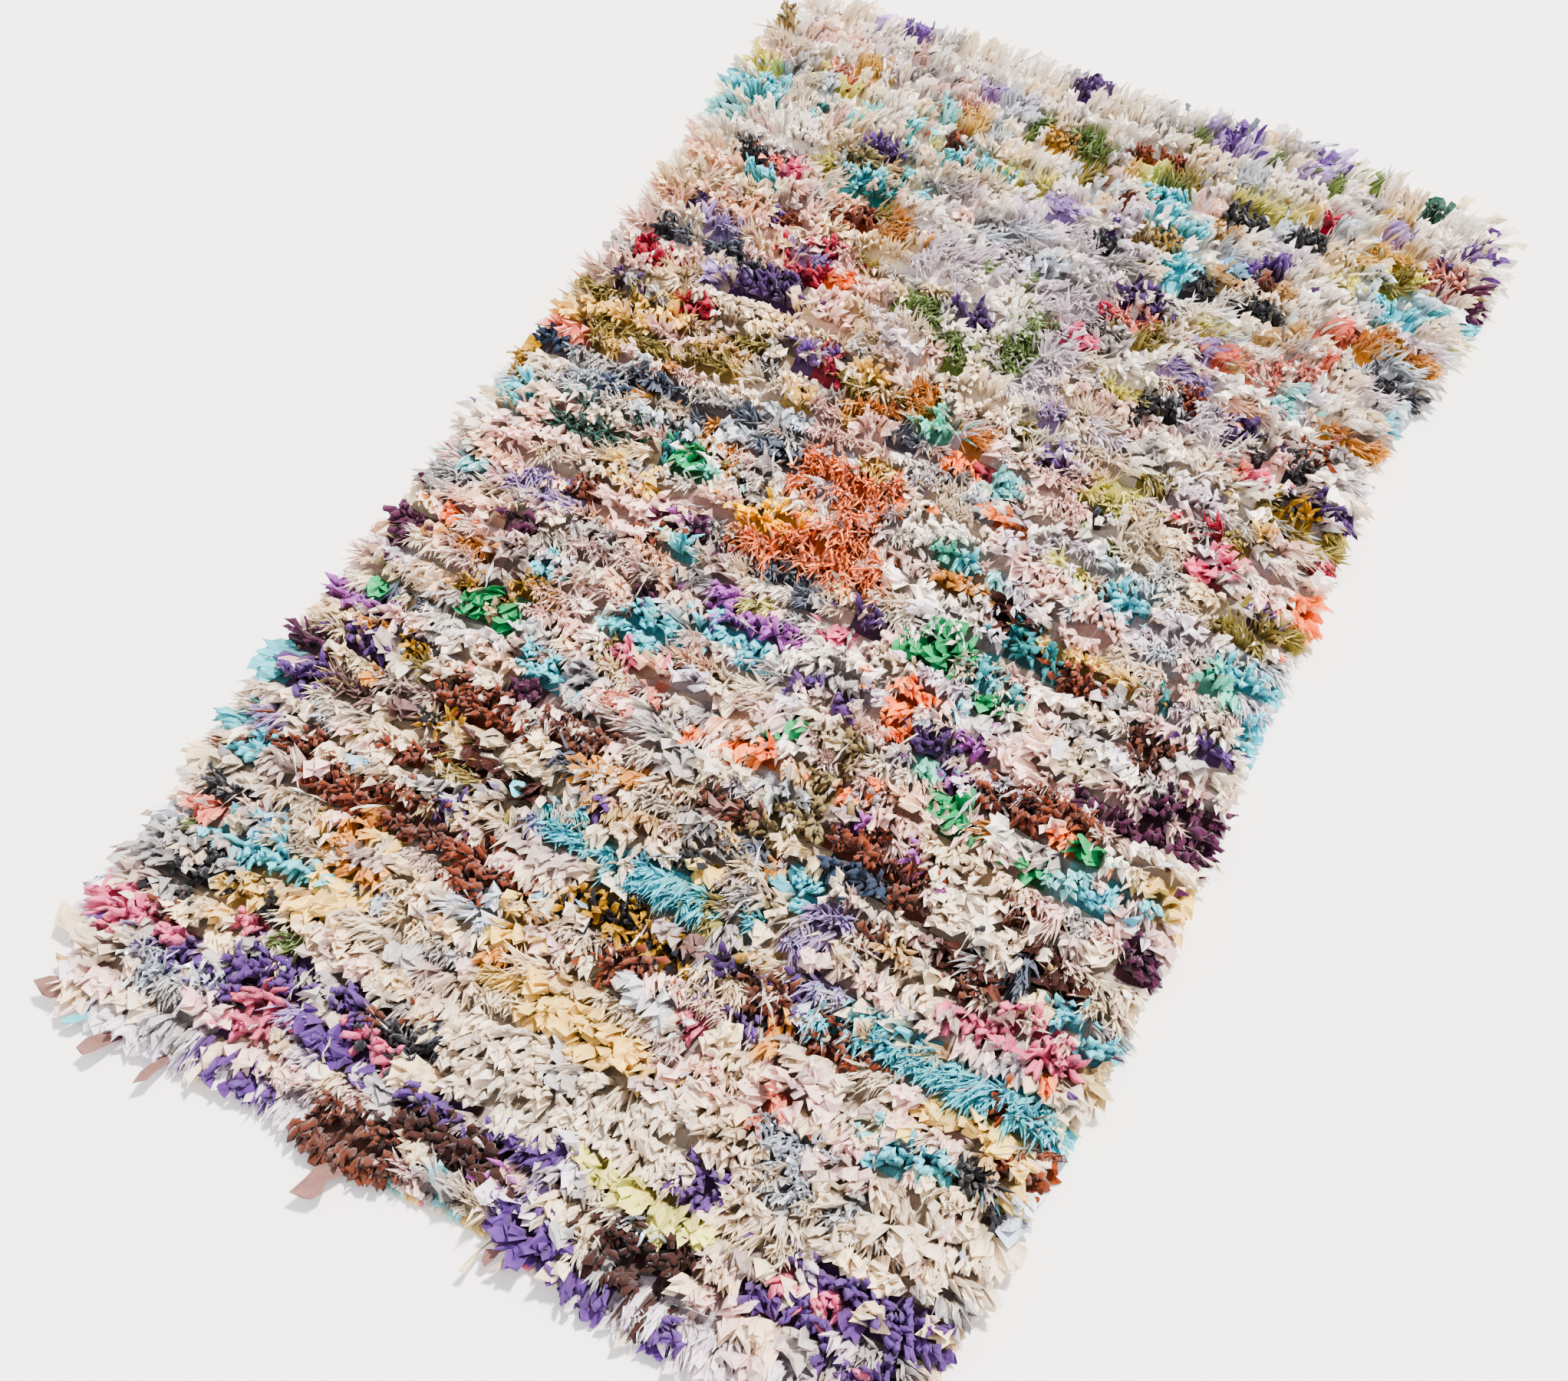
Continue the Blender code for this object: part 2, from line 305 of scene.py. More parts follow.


# %% [markdown]
# ## The rag bag
# A boucherouite is knotted from whatever the household has worn out, so its colours are a bag of
# some forty cloths. Each cloth is one column of a chart, and each of the eight rows of the chart
# is one shade of it: newer, faded, soiled, and darker as painted shade in a fold. A lock of rag is
# laid on one cell of the chart through its UV map, root at the bottom and tip at the top, so one
# material with two colour ramps dyes thousands of locks.

# %% The cloths, as sRGB colours
CLOTHS = {
    "white": (247, 242, 236),
    "ivory": (240, 228, 210),
    "cream": (241, 224, 194),
    "blush": (243, 214, 206),
    "lilac_white": (232, 224, 233),
    "ice": (213, 221, 230),
    "silver": (188, 184, 184),
    "taupe": (198, 180, 174),
    "butter": (238, 208, 132),
    "tan": (207, 178, 132),
    "mustard": (190, 146, 48),
    "golden": (255, 208, 10),
    "amber": (216, 156, 80),
    "orange": (248, 142, 82),
    "coral": (228, 140, 122),
    "rust": (134, 58, 24),
    "chestnut": (108, 54, 34),
    "chocolate": (64, 32, 26),
    "crimson": (170, 32, 62),
    "pink": (222, 112, 144),
    "orchid": (168, 92, 178),
    "violet": (96, 62, 134),
    "purple": (70, 40, 96),
    "plum": (78, 24, 62),
    "navy": (44, 60, 86),
    "charcoal": (38, 40, 48),
    "sky": (148, 194, 226),
    "turquoise": (108, 206, 222),
    "teal": (40, 132, 138),
    "mint": (122, 212, 192),
    "emerald": (50, 160, 100),
    "olive": (162, 148, 78),
    "moss": (124, 148, 86),
    "khaki": (152, 132, 84),
    "forest": (42, 84, 72),
    "slate": (98, 108, 126),
    "peach": (243, 208, 182),
    "lemon": (226, 222, 136),
    "lilac": (178, 158, 208),
    "aqua": (154, 217, 220),
    "rosewood": (140, 108, 104),
    "fawn": (234, 218, 196),
}
CLOTH_NAMES = list(CLOTHS)
COLUMNS = len(CLOTHS)
SHADES = 8
SHADE_TINTS = (
    # each shade's tint, as linear factors
    (1.00, 1.00, 1.00),
    (0.96, 0.97, 1.00),
    (1.00, 0.95, 0.90),
    (0.84, 0.84, 0.87),
    (1.04, 1.02, 1.00),
    (0.92, 0.88, 0.84),
    (0.98, 0.93, 0.98),
    (0.72, 0.71, 0.72),
)
# How much dust and painted root shade each shade takes, from nought to one
SHADE_DUST_AND_SHADOW = (0.9, 0.8, 1.0, 1.0, 0.1, 1.0, 0.8, 1.0)
# The clean shade, with little soil and little painted root shade
CLEAN_UNSHADOWED_SHADE = 4
COLUMN_MARGIN = 0.12
SHADE_MARGIN = 0.06
print(COLUMNS, "cloths in", SHADES, "shades")


# %% The chart's colours, linear
def linear(channel):
    part = channel / 255
    return part / 12.92 if part <= 0.04045 else ((part + 0.055) / 1.055) ** 2.4


def cloth_stops(first, count):
    """The ramp of one half of the chart."""
    names = CLOTH_NAMES[first : first + count]
    return [(i / count, (*map(linear, CLOTHS[name]), 1)) for i, name in enumerate(names)]


def chart_place(cloths, shades, part_u, part_v):
    """Places on the chart, from a cloth, a shade and the parts across and up their cell."""
    u = (cloths + COLUMN_MARGIN + (1 - 2 * COLUMN_MARGIN) * part_u) / COLUMNS
    v = (shades + SHADE_MARGIN + (1 - 2 * SHADE_MARGIN) * part_v) / SHADES
    return np.stack([u, v], axis=-1)


# %% [markdown]
# ## The rag materials
# All rags share the dye chart. What differs is the cloth: crisp cotton has a fine plain weave and
# sharp creases, frayed flannel has fibres along it, jersey a soft rib, chenille a rough nap,
# satin a smooth shine. Those live in the bump, the roughness and the sheen. Every pattern reads
# the lock's own UV map, measured in millimetres of cloth, so it follows each lock as it bends.

# %% A material for one kind of rag
LOCK_WIDTH_MM = 15
LOCK_LENGTH_MM = 60
# Noise and weave, in waves for each mm of cloth; streaks and folds are (across, along)
BLOTCH_SCALE = 0.22
THREAD_SCALE = 0.28
CREASE_SCALE = 0.16
STREAK_SCALE = (1.6, 0.12)
FOLD_SCALE = (0.42, 0.07)
# Brightness at the root, lowered as painted shade of the deep pile and as dust, what the tip
# gains, and what the root of a clean rag gains back
ROOT_VALUE = 0.70
TIP_GAIN = 0.38
CLEAN_UNSHADOWED_GAIN = 0.22
# Soil and painted shade reach this far up, fade at this rate, and follow the fibres this much
SOIL_AND_SHADE_TOP = 0.62
SOIL_AND_SHADE_FALL = 0.9
SOIL_AND_SHADE_FIBRES = 0.8
SOIL_AND_SHADE_SHARE = 0.52
SOIL_AND_SHADE_COLOUR = (0.19, 0.122, 0.108, 1)
RELIEF_UNIT = 0.001
SHEEN_ROUGHNESS = 0.5
SPECULAR = 0.3


def rag_material(name, roughness, sheen, weave, crease, fibre, pleat, metallic=0.0, fade=0.10):
    """weave, crease, fibre and pleat are the heights of those reliefs, pleat in quarters, in mm; pleat also
    paints fold shade into the colour.
    """
    material, tree, shader = new_material(name)
    maths = Socket(tree)
    uv = maths.node("ShaderNodeUVMap", {"uv_map": "OFBake"})
    u = maths.node("ShaderNodeSeparateXYZ", inputs={0: uv})
    v = Socket(tree, u.output.node.outputs[1])
    # The dye: two ramps of cloths, side by side, then the tint of the shade
    half = COLUMNS // 2
    low = ramp(maths, cloth_stops(0, half), u * 2)
    high = ramp(maths, cloth_stops(half, half), u * 2 - 1)
    dye = blend(maths, "MIX", u.sum_node("GREATER_THAN", u, 0.5), low, high)
    tints = [(i / SHADES, (*tint, 1)) for i, tint in enumerate(SHADE_TINTS)]
    dye = blend(maths, "MULTIPLY", 1.0, dye, ramp(maths, tints, v))
    # Each shade's dust and painted root shade, read from the chart's row
    dust_and_shadow_stops = [(i / SHADES, (dust_and_shadow, dust_and_shadow, dust_and_shadow, 1)) for i, dust_and_shadow in enumerate(SHADE_DUST_AND_SHADOW)]
    dust_and_shadow = ramp(maths, dust_and_shadow_stops, v)
    # Millimetres across and along the lock, and the part of the way from its root to its tip
    across = u * (COLUMNS * LOCK_WIDTH_MM)
    along = v * (SHADES * LOCK_LENGTH_MM)
    way = (v * SHADES).sum_node("FRACT", v * SHADES)
    cloth = flat_place(maths, across, along)
    streaks = flat_place(maths, across * STREAK_SCALE[0], along * STREAK_SCALE[1])
    folds = flat_place(maths, across * FOLD_SCALE[0], along * FOLD_SCALE[1])
    blotch = noise(maths, cloth, BLOTCH_SCALE, 2.0)
    fibres = noise(maths, streaks, 1.0, 3.0)
    pleats = noise(maths, folds, 1.0, 1.0)
    # Painted shade of the deep pile, with dust, darkens each rag towards its root, less on clean
    # rags, and the tips are paler and a little faded; uneven wear in blotches and streaks along
    # the fibres vary the tone
    value = ROOT_VALUE + way * TIP_GAIN + (1 - dust_and_shadow) * (1 - way) * CLEAN_UNSHADOWED_GAIN
    value = value + (blotch - 0.5) * (2 * fade) + (fibres - 0.5) * (fibre * 1.8)
    # The pleats paint fold shade, lighter and darker, into the colour
    value = value + (pleats - 0.5) * (pleat * 0.8)
    saturation = 1.06 - way * 0.10 - (blotch - 0.5) * fade
    dye = maths.node(
        "ShaderNodeHueSaturation", inputs={"Saturation": saturation, "Value": value, "Color": dye}
    )
    # Dust and painted shade of the deep pile stain the deeper half of every rag a little brown
    depth = (SOIL_AND_SHADE_TOP - way) * SOIL_AND_SHADE_FALL + (fibres - 0.5) * SOIL_AND_SHADE_FIBRES
    soil_and_shade = maths.sum_node("MAXIMUM", depth, 0.0) * dust_and_shadow
    dye = blend(maths, "MIX", soil_and_shade * SOIL_AND_SHADE_SHARE, dye, SOIL_AND_SHADE_COLOUR)
    # The relief: weave, creases and fibres
    threads = wave(maths, "X", cloth, THREAD_SCALE)
    picks = wave(maths, "Y", cloth, THREAD_SCALE)
    creases = noise(maths, cloth, CREASE_SCALE, 2.0, noise_type="RIDGED_MULTIFRACTAL")
    relief = (threads + picks) * (weave * 0.5) + creases * crease + fibres * fibre + pleats * (pleat * 4)
    bump_inputs = {"Strength": 1.0, "Distance": RELIEF_UNIT, "Height": relief}
    bump = maths.node("ShaderNodeBump", inputs=bump_inputs)
    tree.links.new(dye.output, shader.inputs["Base Color"])
    tree.links.new(bump.output, shader.inputs["Normal"])
    rough = roughness + (blotch - 0.5) * 0.15
    tree.links.new(rough.output, shader.inputs["Roughness"])
    shader.inputs["Sheen Weight"].default_value = sheen
    shader.inputs["Sheen Roughness"].default_value = SHEEN_ROUGHNESS
    shader.inputs["Specular IOR Level"].default_value = SPECULAR
    shader.inputs["Metallic"].default_value = metallic
    return material


# %% The kinds of rag
MATERIALS = {
    # roughness, sheen, then the heights of weave, crease, fibre and pleat
    "cotton": rag_material("crisp_cotton", 0.85, 0.10, 0.10, 0.8, 0.15, 0.6),
    "frayed": rag_material("frayed_flannel", 0.92, 0.25, 0.0, 0.2, 0.6, 0.4),
    "jersey": rag_material("rolled_jersey", 0.80, 0.20, 0.12, 0.6, 0.35, 0.6),
    "chenille": rag_material("chenille_nap", 0.95, 0.35, 0.25, 0.9, 0.5, 0.4),
    "wool": rag_material("long_wool", 0.90, 0.30, 0.0, 0.0, 0.6, 0.2),
    "satin": rag_material("worn_satin", 0.45, 0.05, 0.04, 0.5, 0.1, 0.6),
    "tinsel": rag_material("tinsel_yarn", 0.25, 0.0, 0.0, 0.4, 0.6, 0.2, metallic=0.35),
}
print("Rag materials:", ", ".join(MATERIALS))

# %% [markdown]
# ## One lock of each cut
# Every lock is cut from a few shapes, each modelled once as by hand: a small prism stands on the
# origin, its ridge is pushed over into a fold, and its top face is extruded, resized and swung
# from side to side up to a slanting tip. Shapes are one unit wide and one unit long, and each
# copy gets its own width, length, lean, curl and crumple.

# %% Starting a shape and extruding it
FOLD_LINE = 0.02


def start_prism(sides, thickness, root_width, height, fold=0.0):
    """A low prism on the origin, in edit mode, folded along its middle."""
    bpy.ops.object.select_all(action="DESELECT")
    bpy.ops.mesh.primitive_cylinder_add(
        vertices=sides, radius=0.5, depth=height, location=(0, 0, height / 2)
    )
    bpy.ops.object.mode_set(mode="EDIT")
    bpy.ops.transform.resize(value=(root_width, thickness, 1), center_override=(0, 0, 0))
    obj = bpy.context.edit_object
    mesh = bmesh.from_edit_mesh(obj.data)
    bpy.ops.mesh.select_all(action="DESELECT")
    bpy.ops.mesh.select_mode(type="VERT")
    for vert in mesh.verts:
        vert.select = abs(vert.co.x) < FOLD_LINE
    mesh.select_flush(True)
    bmesh.update_edit_mesh(obj.data)
    if fold:
        bpy.ops.transform.translate(value=(0, fold * root_width, 0))
    bpy.ops.mesh.select_mode(type="FACE")
    bpy.ops.mesh.select_all(action="DESELECT")
    top = max(mesh.faces, key=lambda face: face.calc_center_median().z)
    top.select = True
    bmesh.update_edit_mesh(obj.data)
    return obj


def top_middle(obj):
    mesh = bmesh.from_edit_mesh(obj.data)
    faces = [face for face in mesh.faces if face.select]
    return faces[0].calc_center_median()


def extrude_top(obj, rise, sway, narrow):
    """Draws the selected top face up and to one side, then resizes it about its middle."""
    bpy.ops.mesh.extrude_region_move(TRANSFORM_OT_translate={"value": (sway, 0, rise)})
    middle = top_middle(obj)
    bpy.ops.transform.resize(value=(narrow, narrow, 1), center_override=middle)


# %% Reading a finished shape
def read_points(mesh):
    points = np.empty(len(mesh.vertices) * 3)
    mesh.vertices.foreach_get("co", points)
    return points.reshape(-1, 3)


def read_faces(mesh):
    """The point at each corner of every face, and each face's first corner."""
    corners = np.empty(len(mesh.loops), np.int32)
    mesh.loops.foreach_get("vertex_index", corners)
    starts = np.empty(len(mesh.polygons), np.int32)
    mesh.polygons.foreach_get("loop_start", starts)
    return corners, starts


def settle_faces(mesh):
    """Lists the faces in one fixed order, because an extrude's order varies from run to run."""
    points = read_points(mesh)
    faces = []
    for face in mesh.polygons:
        corners = list(face.vertices)
        # A quad may begin at either end of the diagonal that splits it
        if len(corners) == 4 and corners[2] < corners[0]:
            corners = corners[2:] + corners[:2]
        faces.append(corners)
    mesh.clear_geometry()
    mesh.from_pydata(points, [], sorted(faces))


def read_shape(obj):
    """Takes the shape's points, faces and chart places, and removes its object."""
    mesh = obj.data
    settle_faces(mesh)
    points = read_points(mesh)
    corners, starts = read_faces(mesh)
    triangles = len(corners) - 2 * len(starts)
    points[:, 2] /= points[:, 2].max()
    spread = np.abs(points[:, 0]).max() * 2
    across = np.clip(0.5 + (0.8 * points[:, 0] + 0.2 * points[:, 1]) / spread, 0, 1)
    along = np.clip(0.03 + 0.92 * points[:, 2] + 0.25 * points[:, 1] / spread, 0, 1)
    bpy.data.meshes.remove(mesh)
    return {
        "points": points,
        "corners": corners,
        "starts": starts,
        "chart": np.stack([across, along], axis=1),
        "triangles": triangles,
    }


def model_lock(sides, thickness, root_width, fold, slant, height, rings):
    """One lock: a straight root of this height, then rings of (height, sway, width)."""
    obj = start_prism(sides, thickness, root_width, height, fold)
    width = root_width
    sway = 0.0
    for next_height, next_sway, next_width in rings:
        extrude_top(obj, next_height - height, next_sway - sway, next_width / width)
        height, sway, width = next_height, next_sway, next_width
    if slant:
        middle = top_middle(obj)
        bpy.ops.transform.rotate(
            value=math.radians(slant), orient_axis="Y", center_override=middle
        )
    bpy.ops.object.mode_set(mode="OBJECT")
    return read_shape(obj)


def model_cuts(name, cuts, sides, thickness, root_width):
    """All the cuts of one lock. A cut is its fold, its tip's slant, its root's height and rings."""
    shapes = [
        model_lock(sides, thickness, root_width, fold, slant, height, rings)
        for fold, slant, height, *rings in cuts
    ]
    print(name, "come in", len(shapes), "cuts of", shapes[0]["triangles"], "triangles")
    return shapes


# %% Pleats of crisp cotton, six cuts
PLEAT_CUTS = (
    # fold, slant of the tip, height of the root, then height, sway and width of each ring
    (0, 22, 0.36, (0.70, 0.10, 1.00), (1.0, 0.00, 0.92)),
    (0, -30, 0.34, (0.66, -0.14, 0.95), (1.0, 0.16, 1.05)),
    (0, 14, 0.38, (0.72, 0.16, 0.95), (1.0, -0.08, 0.70)),
    (0, -38, 0.36, (0.68, 0.06, 1.00), (1.0, -0.18, 0.80)),
    (0, 34, 0.35, (0.70, -0.08, 1.00), (1.0, 0.08, 1.05)),
    (0, -12, 0.33, (0.70, -0.16, 0.90), (1.0, -0.04, 0.60)),
)
PLEATS = model_cuts("Pleats", PLEAT_CUTS, 3, 0.50, 0.55)

# %% Broad petals of cotton, eight cuts
PETAL_CUTS = (
    (0.20, 22, 0.36, (0.70, 0.05, 1.00), (1.0, 0.00, 0.92)),
    (-0.16, -30, 0.34, (0.66, -0.06, 0.90), (1.0, 0.10, 1.05)),
    (0.28, 14, 0.38, (0.72, 0.08, 0.95), (1.0, -0.02, 0.80)),
    (-0.26, 36, 0.36, (0.68, 0.04, 0.95), (1.0, -0.08, 1.00)),
    (0.12, -18, 0.35, (0.70, 0.05, 1.00), (1.0, 0.02, 1.10)),
    (0.34, 28, 0.33, (0.70, -0.06, 0.85), (1.0, 0.04, 0.85)),
    (-0.32, -24, 0.37, (0.74, 0.03, 0.90), (1.0, 0.06, 0.70)),
    (-0.10, 40, 0.34, (0.68, -0.04, 1.00), (1.0, -0.10, 0.95)),
)
PETALS = model_cuts("Petals", PETAL_CUTS, 4, 0.13, 0.45)

# %% Leaves of satin and broad rags, four cuts
LEAF_CUTS = (
    (0.10, 10, 0.22, (0.48, 0.04, 1.0), (0.76, -0.03, 0.85), (1.0, 0.02, 0.22)),
    (-0.14, -14, 0.24, (0.50, -0.05, 1.0), (0.78, 0.02, 0.80), (1.0, 0.08, 0.18)),
    (0.18, 20, 0.26, (0.54, 0.03, 1.0), (0.80, 0.06, 0.90), (1.0, -0.04, 0.35)),
    (-0.08, -24, 0.22, (0.46, -0.02, 0.9), (0.74, -0.06, 1.0), (1.0, 0.00, 0.45)),
)
LEAVES = model_cuts("Leaves", LEAF_CUTS, 4, 0.07, 0.40)

# %% Curls of rolled jersey, four cuts
CURL_CUTS = (
    (0.16, 16, 0.26, (0.52, 0.14, 1.0), (0.78, -0.10, 0.9), (1.0, 0.06, 0.62)),
    (-0.12, -20, 0.28, (0.54, -0.16, 1.0), (0.80, 0.12, 1.0), (1.0, 0.00, 0.55)),
    (0.22, 8, 0.24, (0.50, 0.10, 0.8), (0.76, 0.16, 1.0), (1.0, -0.08, 0.70)),
    (-0.18, 26, 0.26, (0.52, -0.10, 0.9), (0.76, -0.16, 0.8), (1.0, 0.10, 0.50)),
)
CURLS = model_cuts("Curls", CURL_CUTS, 4, 0.42, 0.60)

# %% Lumpy worms of chenille and terry, three cuts
WORM_CUTS = (
    (0.0, 10, 0.40, (0.58, 0.20, 1.0), (0.78, -0.20, 0.6), (1.0, 0.15, 0.9)),
    (0.1, -16, 0.44, (0.62, -0.25, 0.9), (0.80, 0.15, 0.7), (1.0, -0.1, 1.0)),
    (-0.1, 20, 0.38, (0.56, 0.10, 1.0), (0.76, 0.25, 0.6), (1.0, 0, 0.8)),
)
WORMS = model_cuts("Worms", WORM_CUTS, 4, 0.85, 0.60)

# %% Wavy hairs of wool, tinsel and loose threads, three cuts
HAIR_CUTS = (
    (0.0, 0, 0.26, (0.50, 1.1, 0.9), (0.74, -0.7, 0.7), (1.0, 0.5, 0.3)),
    (0.0, 0, 0.22, (0.46, -1.3, 0.9), (0.72, 0.6, 0.7), (1.0, -0.8, 0.3)),
    (0.0, 0, 0.30, (0.52, 0.7, 1.0), (0.78, 1.2, 0.7), (1.0, -0.4, 0.3)),
)
HAIRS = model_cuts("Hairs", HAIR_CUTS, 3, 1.0, 0.8)

# %% [markdown]
# Flannel that has frayed is a brush of wisps. A wisp is the simplest lock of all, and the most
# often used: a three-sided cone, thicker at its middle, whose top is drawn up to a point.

# %% Wisps of frayed flannel, four cuts
WISP_CUTS = (
    # height and radius of the thickest ring, then the sway of the point
    (0.46, 0.52, 0.30),
    (0.54, 0.46, -0.35),
    (0.62, 0.50, 0.12),
    (0.50, 0.56, -0.10),
)
WISP_ROOT_RADIUS = 0.36


def model_wisp(height, radius, sway):
    """One pointed wisp of fibres, ten triangles."""
    bpy.ops.object.select_all(action="DESELECT")
    bpy.ops.mesh.primitive_cone_add(
        vertices=3,
        radius1=WISP_ROOT_RADIUS,
        radius2=radius,
        depth=height,
        location=(0, 0, height / 2),
    )
    obj = bpy.context.object
    bpy.ops.object.mode_set(mode="EDIT")
    bpy.ops.mesh.select_mode(type="FACE")
    bpy.ops.mesh.select_all(action="DESELECT")
    mesh = bmesh.from_edit_mesh(obj.data)
    max(mesh.faces, key=lambda face: face.calc_center_median().z).select = True
    bmesh.update_edit_mesh(obj.data)
    bpy.ops.mesh.extrude_region_move(TRANSFORM_OT_translate={"value": (sway, 0, 1 - height)})
    bpy.ops.mesh.merge(type="CENTER")
    bpy.ops.object.mode_set(mode="OBJECT")
    return read_shape(obj)


WISPS = [model_wisp(*cut) for cut in WISP_CUTS]
print("Wisps come in", len(WISPS), "cuts of", WISPS[0]["triangles"], "triangles")
